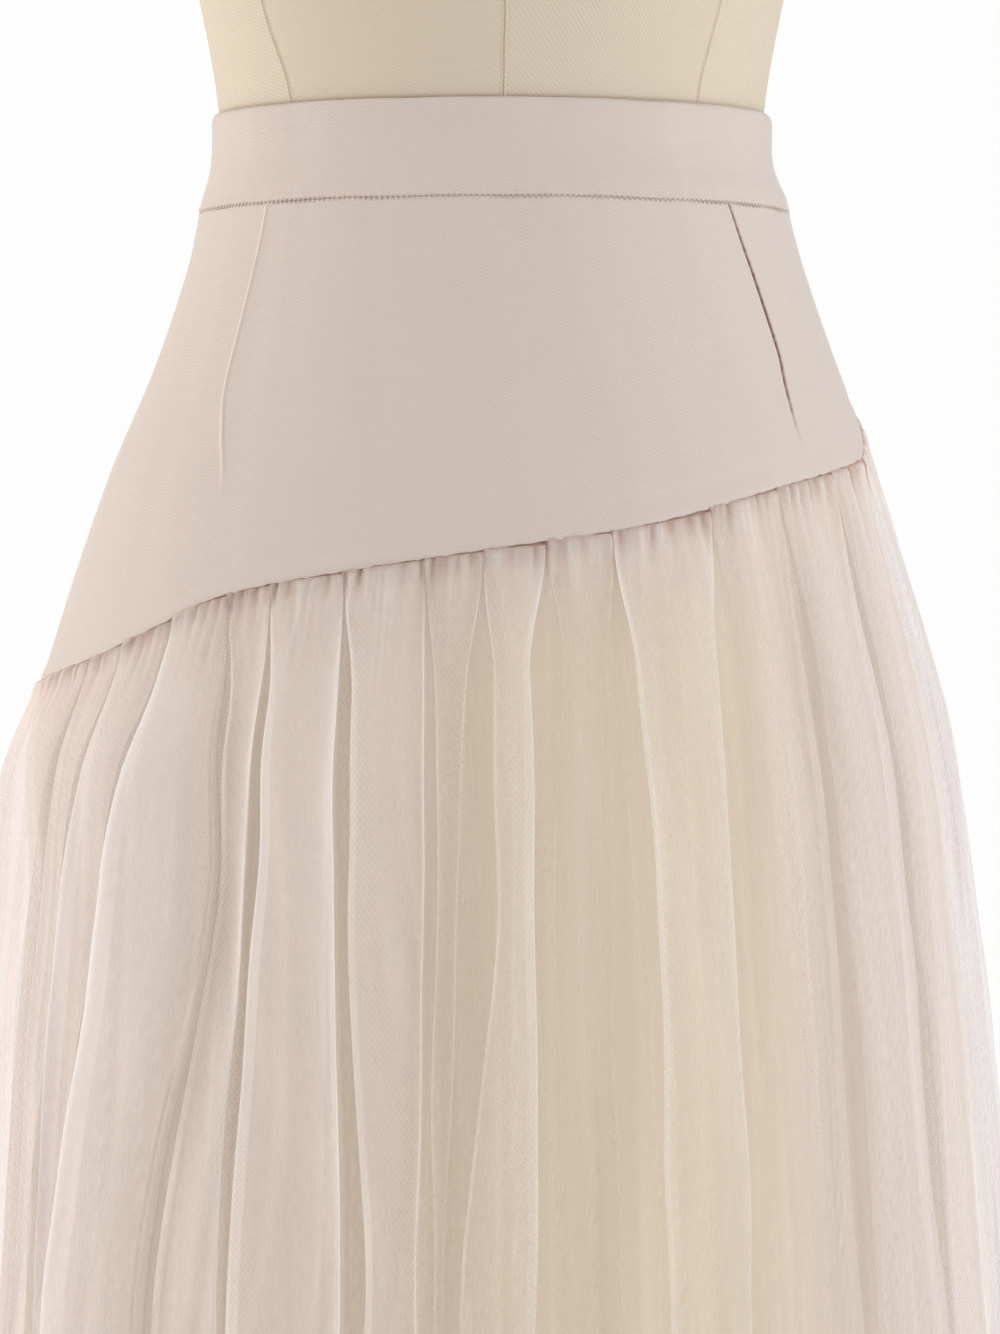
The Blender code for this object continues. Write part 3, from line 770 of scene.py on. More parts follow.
@made_once("zip_nylon_tape")
def nylon_finish(name):
    """The zip's nylon: fine ribs on a half-matt ground."""
    colour = (0.60, 0.50, 0.44)
    shades = Shades(name, colour, 0.55, Specular_IOR_Level=0.35)
    place = shades.place()
    ribs = shades.noise(place, 0.0009, 1.0, (1, 1, 2.5))
    shades.to("Base Color", shades.mix(ribs, tint(colour, 0.9), tint(colour, 1.08)))
    shades.bump(ribs, 0.06 * MM, 0.5)
    return shades.material


@made_once("zip_enamel")
def enamel_finish(name):
    """Enamelled metal, a little worn."""
    colour = (0.64, 0.54, 0.48)
    shades = Shades(name, colour, 0.3, Metallic=0.25, Coat_Weight=0.4, Coat_Roughness=0.15)
    place = shades.place()
    wear = shades.noise(place, 0.0025, 4.0)
    shades.to("Base Color", shades.mix(wear, tint(colour, 0.92), tint(colour, 1.08)))
    shades.to("Roughness", shades.between(wear, 0.24, 0.42))
    return shades.material


@made_once("stand_paint")
def paint_finish(name):
    """The stand's dark powder paint, with a fine grain and faint scuffs."""
    colour = tuple(colours().metal)
    shades = Shades(name, colour, 0.45, Specular_IOR_Level=0.45, Coat_Weight=0.15, Coat_Roughness=0.3)
    place = shades.place()
    grain = shades.noise(place, 0.0012, 2.0)
    scuffs = shades.noise(place, 0.03, 6.0)
    shades.to("Base Color", shades.mix(scuffs, tint(colour, 0.85), tint(colour, 1.35)))
    shades.to("Roughness", shades.between(scuffs, 0.36, 0.6))
    shades.bump(grain, 0.05 * MM, 0.35)
    return shades.material


@made_once("cap_turned_wood")
def wood_finish(name):
    """Turned and varnished wood, its grain running round the cap."""
    colour = tuple(colours().wood)
    shades = Shades(name, colour, 0.35, Coat_Weight=0.4, Coat_Roughness=0.2)
    place = shades.place()
    rings = shades.noise(place, 0.006, 4.0, (1.0, 0.16, 1.0))
    fine = shades.noise(place, 0.0012, 2.0, (1.0, 0.08, 1.0))
    tone = shades.mix(rings, tint(colour, 0.62), tint(colour, 1.35))
    shades.to("Base Color", shades.mix(shades.maths("MULTIPLY", fine, 0.4), tone, tint(colour, 0.5)))
    shades.to("Roughness", shades.between(rings, 0.28, 0.45))
    shades.bump(fine, 0.04 * MM, 0.4)
    return shades.material


# The waistband and yoke


def waistband_grid(columns):
    """The folded band's closed outline, from its bottom edge up the outside, over the fold and down the inside."""
    wall, band = 2.0 * MM, BAND_TOP - BAND_BOTTOM
    slit = math.degrees(ZIP_SLIT / BAND_REACH)
    lowest = np.array([0.0, 0.25, 0.5, 0.75, 1.0, 1.3, 1.7, 2.3]) * MM / band
    outside = BAND_BOTTOM + band * np.concatenate([lowest, np.linspace(0.08, 1, 24)])
    above = outside - BAND_BOTTOM
    lip = 0.55 * MM * bell(above, 1.2 * MM, 1.6 * MM)
    rounded = 1 - smooth((BAND_TOP - outside) / (2.2 * MM))
    rolled_in = 0.8 * MM * (1 - smooth(above / (1.3 * MM)))
    folded = BAND_TOP - np.array([0.15, 0.6, 1.6]) * MM
    inside = BAND_BOTTOM + np.array([12, 0.4]) * MM
    heights = np.concatenate([outside, folded, inside])
    depths = np.concatenate([rounded * wall * 0.45 - lip + rolled_in, np.array([0.62, 0.82, 1, 1, 1]) * wall])
    angle, tall = np.meshgrid(np.linspace(-180 + slit, 180 - slit, columns), heights)
    above = tall - BAND_BOTTOM
    shown = (np.arange(len(heights)) < len(outside))[:, None]
    pucker = 0.16 * MM * wander(angle, 4.6, 1.0) * bell(above, 0, 9 * MM)
    pucker += 0.35 * MM * wander(angle, 31.0, 2.0) * smooth(above / (15 * MM))
    pucker *= np.where(shown, 1.0, 0.3)
    sag = 0.3 * MM * wander(angle, 47.0, 3.0)
    weave = 0.30 + 0.55 * bell(above, 0, 7 * MM) * bell(angle, 0, 75, 4)
    weave += 0.7 * bell(angle, -55, 24) * smooth((above - 12 * MM) / (20 * MM))
    # The lip mark places the painted shade of the stitch dimples just above the band's lower edge.
    marks = {"lip": shown * bell(above, 0.45 * MM, 0.42 * MM), "weave": np.clip(weave * shown, 0, 1)}
    return skin(angle, np.minimum(tall + sag, BAND_TOP), depths[:, None] + pucker), marks


class SKIRT_OT_waistband(bpy.types.Operator):
    """Folds the plain waistband and sews its small stitches"""

    bl_idname = "skirt.waistband"
    bl_label = "Waistband"

    def execute(self, context):
        grid, marks = waistband_grid(620)
        grid = np.concatenate([grid, grid[:1]])
        marks = {name: np.concatenate([mark, mark[:1]]) for name, mark in marks.items()}
        band = cloth("waistband_cloth", grid, yoke_finish(), marks)
        close_ends(band)
        finish_piece(band, BODY, "yoke_cloth", "waistband")
        finish_piece(stitch_row("waistband_stitches"), BODY, "yoke_cloth")
        return {"FINISHED"}


def close_ends(piece):
    """Joins a ring's last row to its first and caps the two open ends of the strip."""
    shape = bmesh.new()
    shape.from_mesh(piece.data)
    bmesh.ops.remove_doubles(shape, verts=shape.verts[:], dist=0.00001)
    edges = [edge for edge in shape.edges if edge.is_boundary]
    bmesh.ops.holes_fill(shape, edges=edges, sides=0)
    bmesh.ops.recalc_face_normals(shape, faces=shape.faces[:])
    shape.to_mesh(piece.data)
    shape.free()


def stitch_row(name):
    """Stitches along the waistband's lower seam, half sunk in it: one is modelled and the rest are its copies."""
    step = sizes().stitch
    half, thick = 0.36 * step, 0.42 * MM
    angles = np.linspace(-176, 176, 4000)
    line = skin(angles, np.full_like(angles, BAND_BOTTOM - 0.45 * MM), 0.15 * MM)
    run = lengths_along(line[:, None, :], 0)[:, 0]
    shape = bmesh.new()
    for at in np.arange(step, run[-1], step):
        ends = (at - half, at + half)
        start, end = (np.array([np.interp(place, run, line[:, k]) for k in range(3)]) for place in ends)
        along = Vector(end - start)
        place = Matrix.Translation(Vector((start + end) / 2)) @ along.to_track_quat("X", "Z").to_matrix().to_4x4()
        place = place @ Matrix.Diagonal((along.length / 2, thick, thick, 1))
        bmesh.ops.create_icosphere(shape, subdivisions=1, radius=1, matrix=place)
    mesh = bpy.data.meshes.new(name)
    shape.to_mesh(mesh)
    shape.free()
    return new_object(mesh, thread_finish())


def yoke_columns(start, stop, darts, step):
    """How far along a yoke panel each column lies: even, but closer together beside each dart."""
    close = np.array([0.2, 0.4, 0.6, 0.85, 1.2, 1.7, 2.4, 3.2, 4.2, 5.4]) / 2.4
    marks = [start]
    for *_, course in darts:
        marks += list(course[-1][1] + np.concatenate([-close[::-1], [0], close]))
    marks.append(stop)
    columns = []
    for left, right in zip(marks, marks[1:]):
        columns += list(np.linspace(left, right, max(1, round((right - left) / step)), endpoint=False))
    return np.array(columns + [stop])


def follow_darts(columns, height, start, stop, darts):
    """The columns' angles at each height: they keep beside the darts, and are evenly stretched between them."""
    tops = np.array([start] + [course[-1][1] for *_, course in darts] + [stop])
    keep = 3.5
    angle = np.empty_like(height)
    for c, column in enumerate(columns):
        gap_top_shade = [np.full(len(height), start)]
        gap_top_shade += [curve(course, height[:, c]) for *_, course in darts]
        gap_top_shade.append(np.full(len(height), stop))
        i = int(np.clip(np.searchsorted(tops, column, side="right") - 1, 0, len(tops) - 2))
        from_left, from_right = column - tops[i], column - tops[i + 1]
        even = gap_top_shade[i] + (gap_top_shade[i + 1] - gap_top_shade[i]) * from_left / (tops[i + 1] - tops[i])
        keep_left = bell(from_left, 0, keep, 4) if i > 0 else 0.0
        keep_right = bell(from_right, 0, keep, 4) if i + 2 < len(tops) else 0.0
        beside_left, beside_right = gap_top_shade[i] + from_left, gap_top_shade[i + 1] + from_right
        angle[:, c] = even + (beside_left - even) * keep_left + (beside_right - even) * keep_right
    return angle


def dart_relief(angle, height, darts):
    """How far the cloth lies in at the darts, and where each dart gapes or catches the light along its crest: marks for
    painted shade in the gape and beside a pressed ridge, and for a painted highlight on the crest.
    """
    inward, slit_shade, crest_mark = (np.zeros_like(angle) for _ in range(3))
    for slit, ridge, course in darts:
        tip = course[1][0]
        outward = 1 if 0 < course[-1][1] < 180 else -1
        away = (angle - curve(course, height)) * YOKE_DEGREE * outward
        inside, outside = np.clip(-away, 0, None), np.clip(away, 0, None)
        along = np.clip((height - tip) / (BAND_BOTTOM - tip), 0, 1)
        strength = smooth((height - tip + 0.012) / 0.03)
        ragged = 1 + 0.25 * np.sin(height * 4100) * np.sin(height * 1730)
        gape = strength * slit * (0.6 + 0.4 * np.sin(math.pi * along)) * ragged
        pressed = strength * ridge * (1 - slit)
        roof = 1 - np.exp(-np.abs(away) / (9 * MM))
        step = 1 - smooth(away / (1.1 * MM) + 0.35)
        inward += 0.9 * MM * gape * bell(away, 0.1 * MM, 0.6 * MM)
        inward += 0.75 * MM * strength * roof * np.exp(-np.abs(away) / (40 * MM))
        inward -= 0.7 * MM * gape * smooth(away / (0.9 * MM)) * np.exp(-outside / (8 * MM))
        inward -= 0.15 * MM * gape * bell(away, -1.1 * MM, 0.6 * MM)
        inward -= 0.42 * MM * ridge * strength * step * np.exp(-inside / (5 * MM))
        inward += 0.12 * MM * ridge * strength * bell(inside, 9 * MM, 6 * MM)
        # Painted shade in the gape and inside a pressed ridge, and a painted highlight on the crest and on the gape's
        # lip.
        for mark in (gape * bell(away, 0.15 * MM, 0.8 * MM), 0.22 * pressed * bell(away, -1.5 * MM, 0.7 * MM)):
            slit_shade = np.maximum(slit_shade, mark)
        for mark in (pressed * bell(away, 0.1 * MM, 0.75 * MM), 0.7 * gape * bell(away, -1.1 * MM, 0.5 * MM)):
            crest_mark = np.maximum(crest_mark, mark)
    return inward, np.clip(slit_shade, 0, 1), np.clip(crest_mark, 0, 1)


def yoke_piece(name, start, stop, darts, node, flat):
    """One panel of the yoke, from the slanting seam up behind the waistband."""
    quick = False
    columns = yoke_columns(start, stop, darts, 1.2 if quick else 0.8)
    turn = np.cos(math.pi * np.linspace(0, 1, 60 if quick else 84)[:, None])
    share = 0.5 - 0.5 * turn * (0.75 + 0.25 * turn ** 2)
    top = BAND_BOTTOM + 1.5 * MM
    straight = seam_height(columns) + (top - seam_height(columns)) * share
    angle = follow_darts(columns, straight, start, stop, darts)
    low = seam_height(angle) + 0.1 * MM + 0.35 * MM * wander(angle, 3.7, 4.0)
    height = low + (top - low) * share
    above = height - low
    inward, slit, crest = dart_relief(angle, height, darts)
    inward += 0.30 * MM * bell(above, 9 * MM, 3.5 * MM) + 0.45 * MM * bell(above, 0, 1.3 * MM)
    inward += 0.35 * MM * wander(angle + above * 60, 23.0, 5.0) * smooth(above / 0.02)
    inward += 0.9 * MM * smooth((height - BAND_BOTTOM + 0.8 * MM) / (1.6 * MM))
    weave = 0.12 + 0.30 * bell((angle + 180) % 360, 180, 58, 4) + 0.25 * bell(angle, 180, 50, 4)
    marks = {"slit": slit, "crest": crest, "weave": weave}
    piece = cloth(name, skin(angle, height, inward), yoke_finish(), marks, wall=1.5 * MM)
    finish_piece(piece, BODY, "yoke_cloth", node)


class SKIRT_OT_yoke(bpy.types.Operator):
    """Shapes the slanting hip yoke's three panels with their darts"""

    bl_idname = "skirt.yoke"
    bl_label = "Hip yoke"

    def execute(self, context):
        slit = math.degrees(ZIP_SLIT / 0.13)
        left, right = (BACK[0], 180 - slit), (180 + slit, BACK[1])
        yoke_piece("yoke_front_cloth", *FRONT, FRONT_DARTS, "yoke_front", (0.52, 0.21, 0.068))
        yoke_piece("yoke_back_left_cloth", *left, BACK_LEFT_DARTS, "yoke_back_left", (0.24, 0.14, 0.0225))
        yoke_piece("yoke_back_right_cloth", *right, BACK_RIGHT_DARTS, "yoke_back_right", (0.27, 0.22, 0.038))
        return {"FINISHED"}


# The gathered layers


def back_folds():
    """The back's folds, as uneven in width, lean and height as those of the front."""
    count = BACK_FOLD_COUNT
    widths = [1 + 0.34 * math.sin(2.3 * i + 0.6) + 0.18 * math.sin(5.1 * i) for i in range(count)]
    gaps = [0.26 + 0.16 * math.sin(3.7 * i + 1.9) for i in range(1, count + 1)]
    scale = 176.0 / (sum(widths) + sum(gaps[:-1]))
    folds, left = [], 92.0
    for i, (width, gap) in enumerate(zip(widths, gaps)):
        right = left + width * scale
        inside = min(1, i, count - 1 - i)
        lean = inside * math.sin(1.7 * i)
        spread = inside * 0.05 * width * scale * math.sin(2.9 * i + 0.4)
        low_left, low_right = left + lean - spread, right + lean + spread
        mids = (left + low_left) / 2, (right + low_right) / 2
        rise = 0.82 + 0.18 * math.sin(4.3 * i)
        lines = 0.5 + 0.4 * math.sin(2.6 * i + 1.1), 0.5 + 0.4 * math.sin(3.4 * i)
        folds.append((left, right, *mids, low_left, low_right, rise, *lines))
        left = right + gap * scale
    return folds


def fold_edge(top, mid, low, height, seam):
    """A fold edge's angle at each height, through its places at the seam, at mid height and low down."""
    share = np.clip((seam - height) / np.maximum(seam - FOLD_MID, 0.03), 0, 1)
    upper = top + (mid - top) * (1 - (1 - share) ** 1.5)
    share = smooth(np.clip((FOLD_MID - height) / (FOLD_MID - FOLD_LOW), 0, 1))
    return np.where(height > FOLD_MID, upper, mid + (low - mid) * share)


def gather_notches(angle):
    """0 to 1: 1 in the small notches between gathers, about a centimetre apart."""
    turns = angle / 3.1 + 0.30 * np.sin(angle / 5.3) + 0.22 * np.sin(angle / 2.3 + 1.0)
    first = (0.5 + 0.5 * np.cos(turns * math.tau)) ** 5
    turns = angle / 4.3 + 0.35 * np.sin(angle / 6.1 + 2.0)
    second = (0.5 + 0.5 * np.cos(turns * math.tau)) ** 7
    return np.clip(first * (0.65 + 0.35 * np.sin(angle / 3.9)) + 0.8 * second, 0, 1)


def pinches(angle, below, per_degree, start, stop, seed):
    """The gathers under the seam: thin crisp ridges with a painted highlight, and slots that start in small notches
    painted dark as shade.
    """
    chance = np.random.default_rng(seed)
    ridge, line, slot, notch = (np.zeros_like(angle) for _ in range(4))
    at = start + 0.8
    while at < stop - 0.8:
        sunk = chance.random() < 0.55
        length = 0.012 + (0.035 if sunk else 0.085) * chance.random() ** 1.5
        half = (0.6 + 0.9 * chance.random()) * MM
        drift = (chance.random() - 0.5) * 9.0
        strength = 0.45 + 0.55 * chance.random()
        deep = (3.0 + 8.0 * chance.random() ** 1.4) * MM
        away = (angle - at - drift * below / 0.12) * per_degree
        taper = 1 - smooth(below / length)
        if sunk:
            shape = strength * bell(away, 0, half + 5 * below / 100)
            slot = np.maximum(slot, shape * taper)
            notch = np.maximum(notch, shape * bell(below, 0, deep))
        else:
            shape = strength * bell(away, 0, half) * taper
            ridge = np.maximum(ridge, shape * smooth(below / 0.002))
            line = np.maximum(line, strength * bell(away, 0, 0.8 * half) * taper * smooth(below / 0.003))
        at += 0.45 + 1.7 * chance.random() ** 1.3
    return ridge, line, slot, notch


def veils(angle, below, per_degree, start, stop, seed, spacing):
    """Long thin folds seen through the net: each a bright line, given as a painted highlight and denser net, whose one
    side fades slowly into the cloth.
    """
    chance = np.random.default_rng(seed)
    line, cast = np.zeros_like(angle), np.zeros_like(angle)
    at = start + 2
    while at < stop - 2:
        begin = 0.02 + 0.30 * chance.random() ** 1.5
        lean = (chance.random() - 0.5) * 9.0
        bow = (chance.random() - 0.5) * 5.0
        strength = 0.25 + 0.75 * chance.random() ** 1.4
        side = 1 if chance.random() < 0.5 else -1
        reach = (6 + 16 * chance.random()) * MM
        course = at + lean * below / 0.6 + bow * np.sin(below * 7.0)
        away = (angle - course) * per_degree * side
        shown = strength * smooth((below - begin) / 0.09)
        line = np.maximum(line, shown * bell(away, 0, 0.7 * MM))
        cast = np.maximum(cast, shown * smooth(away / (0.6 * MM) + 0.5) * np.exp(-np.clip(away, 0, None) / reach))
        at += spacing * (0.5 + chance.random())
    return line, cast


def side_zone(angle, begin, full):
    """1 at the skirt's two sides, 0 towards the front and back."""
    lateral = np.degrees(np.arcsin(np.clip(np.abs(np.sin(np.radians(angle))), 0, 1)))
    return smooth((lateral - begin) / (full - begin))


def side_inset(angle, below):
    """How much farther in the lower layers hang at the wearer's right, and how much less at the left."""
    left = np.sin(np.radians(angle)) > 0
    return np.where(left, -5.0, 9.0) * MM * side_zone(angle, 58, 88) * smooth(below / 0.10)


def turned_away(angle, below):
    """0 at the front and back, rising to 1 where the skirt turns to its sides, where more net lies over the lining."""
    return side_zone(angle, 22, 54) * smooth(below / 0.05)


def soft_side(line, near):
    """How full a fold is at a distance from its edge: full at once beside a crisp edge, slowly beside a soft one."""
    return line + (1 - line) * smooth(near / (0.5 * MM + 20 * MM * (1 - line) ** 2))


def droop(line):
    """How far down its flank a soft fold edge already lies where its face ends."""
    return 0.5 * (1 - line) ** 1.5


def crispness(line):
    """How crisp an edge is drawn, from its number in the table of folds."""
    return line ** 1.5


class NetFolds:
    """The columns of a folded net: how each runs from the seam to the hem, how deep it lies, and what it shows.

    Each column is a station: its kind, its fold's number, and its share of the way across a face, a floor or an end,
    or its step in FLANK.
    """

    def __init__(self, folds, start, stop):
        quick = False
        self.folds, self.start, self.stop = folds, start, stop
        self.stations = self.stations_across(0.5 if quick else 0.31)
        self.tops = np.array([self.top(*station) for station in self.stations])
        self.seam = seam_height(self.tops) - SEAM_GAP
        self.below = np.linspace(0, 1, 70 if quick else 112)[:, None] ** 1.55 * (self.seam - HEM)
        self.height = self.seam - self.below
        self.per_degree = metres_per_degree(self.height)
        calm = 0.40 * side_zone(self.tops, 58, 84) * (np.sin(np.radians(self.tops)) > 0)
        self.depth = curve(FOLD_DEPTH, self.below) * (1 - calm)

    def stations_across(self, face_step):
        """The stations from left to right, closer together where the net turns."""
        steps_round = range(1, len(FLANK))
        last = len(self.folds) - 1
        made = [("start", 0, t) for t in np.linspace(0, 1, 4)[:-1]]
        for i, fold in enumerate(self.folds):
            if i:
                made += [("right", i - 1, k) for k in steps_round]
                floor_steps = max(3, round((fold[0] - self.folds[i - 1][1]) / 0.5))
                made += [("floor", i, t) for t in np.linspace(0, 1, floor_steps + 2)[1:-1]]
            made += [("left", i, k) for k in reversed(steps_round)]
            face_steps = max(8, round((fold[1] - fold[0]) / face_step))
            made += [("face", i, t) for t in np.linspace(0, 1, face_steps + 1)]
        made += [("right", last, k) for k in steps_round]
        return made + [("stop", last, t) for t in np.linspace(0, 1, 4)[1:]]

    def top(self, kind, i, t):
        """A station's angle at the seam."""
        left, right = self.folds[i][:2]
        before = self.folds[i - 1][1] if i else self.start
        spans = {"start": (self.start, left), "left": (left, left), "face": (left, right), "right": (right, right)}
        low, high = {**spans, "floor": (before, left), "stop": (right, self.stop)}[kind]
        return low + (high - low) * t

    def course(self, i, side, c):
        """The angle of a fold's left (0) or right (1) edge down a column, before its gap is pinched shut."""
        below, height = self.below[:, c], self.height[:, c]
        sway = 0.35 * smooth(below / 0.12) * wander(height, 0.29, i * 1.3 + side * 0.7)
        return fold_edge(*self.folds[i][side:6:2], height, self.seam[c]) + sway

    def edge(self, i, side, c):
        """The same, with the gap beside it opening like a V below the seam."""
        own, beside = self.course(i, side, c), i + (1 if side else -1)
        if not 0 <= beside < len(self.folds):
            return own
        middle = (own + self.course(beside, 1 - side, c)) / 2
        return middle + (own - middle) * (0.08 + 0.92 * smooth((self.below[:, c] - 0.004) / 0.050))

    def column(self, c):
        """A column's angle, its share of the fold's depth, how much of an edge it is, drawn as a painted highlight, and
        how much of a fold's face.
        """
        kind, i, t = self.stations[c]
        left, right = self.edge(i, 0, c), self.edge(i, 1, c)
        if kind == "start":
            return self.start + (left - self.start) * t, 1.0, 0, 0
        if kind == "stop":
            return right + (self.stop - right) * t, 1.0, 0, 0
        if kind == "floor":
            before = self.edge(i - 1, 1, c)
            arch = 0.12 * math.sin(math.pi * t) * min(1.0, (self.folds[i][0] - self.folds[i - 1][1]) / 6)
            return before + (left - before) * t, 1.0 - arch, 0, 0
        return (self.face if kind == "face" else self.flank)(c, left, right)

    def face(self, c, left, right):
        """A column of a fold's face: nearly flat, and sinking towards a soft edge."""
        _, i, t = self.stations[c]
        rise, *lines = self.folds[i][6:]
        width = (right - left) * self.per_degree[:, c]
        full, drop, bright = 1.0, 0.0, 0.0
        for line, near in zip(map(crispness, lines), (t * width, (1 - t) * width)):
            full = full * soft_side(line, near)
            drop = drop + droop(line) * (1 - soft_side(0, near))
            # bright is the painted highlight along the face beside a crisp edge.
            bright = bright + line * (0.65 * np.exp(-near / (1.4 * MM)) + 0.35 * np.exp(-near / (6 * MM)))
        part = 1 - rise + 0.14 * math.sin(math.pi * t) ** 0.8 + rise * np.minimum(drop, 0.7)
        return left + (right - left) * t, part, bright, full

    def flank(self, c, left, right):
        """A column on the way from a fold's face round its edge and under to the gap's floor."""
        kind, i, step = self.stations[c]
        past, deep = FLANK[step]
        rise, *lines = self.folds[i][6:]
        if kind == "left":
            base, sign, (line, across) = left, -1, lines
            gap = left - (self.edge(i - 1, 1, c) if i else self.start)
        else:
            base, sign, (across, line) = right, 1, lines
            gap = (self.edge(i + 1, 0, c) if i + 1 < len(self.folds) else self.stop) - right
        line, across = crispness(line), crispness(across)
        per_degree = self.per_degree[:, c]
        face = (right - left) * per_degree
        room = 0.34 * np.maximum(gap, 0.2) * per_degree if past > 0 else 0.1 * face
        reach = past * line * np.minimum(sizes().edge_fold, room) * np.minimum(1.0, self.depth[:, c] / (9 * MM))
        begin = np.minimum(droop(line) + droop(across) * (1 - soft_side(0, face)), 0.7)
        part = (1 - rise) + rise * (begin + (1 - begin) * deep)
        # The third value is the painted highlight round the fold's edge.
        return base + sign * reach / per_degree, part, line * max(0.0, 1 - deep / 0.22), line * (1 - deep)


def rows_over(grid, *rows):
    """A grid with rows set above its first one, each of them a row of numbers or one number."""
    return np.concatenate([[np.broadcast_to(row, grid.shape[1:]) for row in rows], grid])


def hang(name, node, slot, grid, finish, marks=None, wall=0.0):
    """Makes a layer's sheet from its grid, whose first row is its top, and says what cloth it is."""
    marks = {mark: np.stack(values, -1)[::-1] for mark, values in (marks or {}).items()}
    piece = cloth(name, grid[::-1], finish, marks, wall)
    finish_piece(piece, BODY, slot, node)


def tulle_layer(name, node, folds, start, stop, finish, flat):
    """The outer net: flat-faced folds whose edges turn under, from small gathers at the yoke down to the hem."""
    net = NetFolds(folds, start, stop)
    below, height, tops = net.below, net.height, net.tops
    angle, part, edge, fold = (np.zeros_like(height) for _ in range(4))
    for c in range(len(tops)):
        angle[:, c], part[:, c], edge[:, c], fold[:, c] = net.column(c)
    seed = 5 if start < 0 else 8
    ridge, line, slot, notch = pinches(angle, below, net.per_degree, start, stop, seed)
    thin, cast = veils(angle, below, net.per_degree, start, stop, seed + 20, 4.2)

    at_seam = np.exp(-below / 0.030)
    puff = bell(below, 2.5 * MM, 3.4 * MM) * (1 + 0.35 * wander(angle, 2.9, 17.0))
    inward = 0.1 * MM + net.depth * part * (1 - at_seam) + 0.1 * MM * at_seam - 0.9 * MM * puff
    inward += sizes().gather * (slot - 0.45 * ridge * (0.4 + 0.6 * fold))
    inward += 0.55 * MM * wander(tops, 1.9, 6.0) * np.exp(-below / 0.022)
    soft = smooth(below / 0.10)
    flat_parts = np.array([kind in ("face", "floor") for kind, *_ in net.stations], float)
    swell = 0.7 * MM + 1.3 * MM * smooth((below - 0.15) / 0.4)
    inward += soft * flat_parts * swell * wander(angle + 9 * np.sin(height * 7), 8.3, 7.0)
    inward += soft * 1.6 * MM * wander(height + tops / 90, 0.23, 8.0)
    inward = np.maximum(inward - 0.5 * MM * thin, -1.3 * MM)

    # Painted shade: the notch mark darkens the net at the tops of the gaps between folds, in a ragged line right under
    # the yoke's seam, and on the rows tucked under the yoke's edge; it also adds cover.
    in_gap = np.array([kind == "floor" or kind in ("left", "right") and t >= 4 for kind, _, t in net.stations], float)
    gap_top_shade = in_gap * bell(below, 0, 15 * MM) * np.clip(0.55 + 0.6 * wander(tops, 8.3, 19.0), 0.1, 0.9)
    seam_shade = (0.55 + 0.35 * wander(angle, 2.3, 18.0)) * bell(below, 0, 0.7 * MM)
    notch = np.maximum(np.maximum(notch, gap_top_shade), seam_shade)
    notch = rows_over(notch, *[np.maximum(notch[0], 0.8)] * 3)
    angle = rows_over(angle, *[angle[0]] * 3)
    inward = rows_over(inward, 2.4 * MM, 2.1 * MM, 1.5 * MM)
    height = rows_over(height, *(height[0] + rise * MM for rise in (4.0, 1.5, 0.15)))
    grids = (below, edge, fold, line, slot, thin, cast)
    below, edge, fold, line, slot, thin, cast = (rows_over(grid, 0, 0, 0) for grid in grids)

    side = side_zone(angle, 60, 82) * smooth(below / 0.05)
    far = smooth((below - 0.08) / 0.35)
    # The edge mark is a painted highlight along fold edges, the gathers' ridges and the veils' lines; it also thickens
    # the cover there.
    edge = edge * smooth(below / 0.02) * (1 - 0.35 * far) * (1 - 0.6 * side)
    edge = np.maximum(np.maximum(edge, 0.8 * line), 0.6 * thin)
    gathered = np.exp(-below / 0.020)
    turned = turned_away(angle, below)
    shares = {
        "far": far,
        "side": side,
        "turned": turned,
        "close": (bell(angle, -28, 26, 4) - bell(angle, 20, 28, 4)) * smooth(below / 0.05),
        "fold": fold * smooth(below / 0.012) * (1 - 0.40 * far) * (1 - 0.6 * side),
        "edge": edge,
        "gathered": gathered,
        "slot": slot,
        "notch": notch,
        "cloud": wander(angle + 4 * np.sin(height * 9), 3.1, 13.0) * (0.6 + 0.4 * wander(height, 0.16, 14.0)),
        "cast": cast,
    }
    cover = np.clip(OPEN_COVER + sum(COVER[mark] * share for mark, share in shares.items()), 0.06, 0.94)
    weave = smooth(0.35 + 0.7 * wander(angle + 40 * height, 17.0, 16.0))
    # net_cover holds the cover, the side mark (also a painted cooler tint at the sides) and how much the threads show;
    # net_tint holds the painted highlight on edges, the gathers' pinker tone and the painted shade in notches.
    marks = {
        "net_cover": (cover, np.maximum(0.30 * turned, side), weave),
        "net_tint": (edge, gathered, notch),
    }
    hang(name, node, "tulle", skin(angle, height, inward), finish, marks)


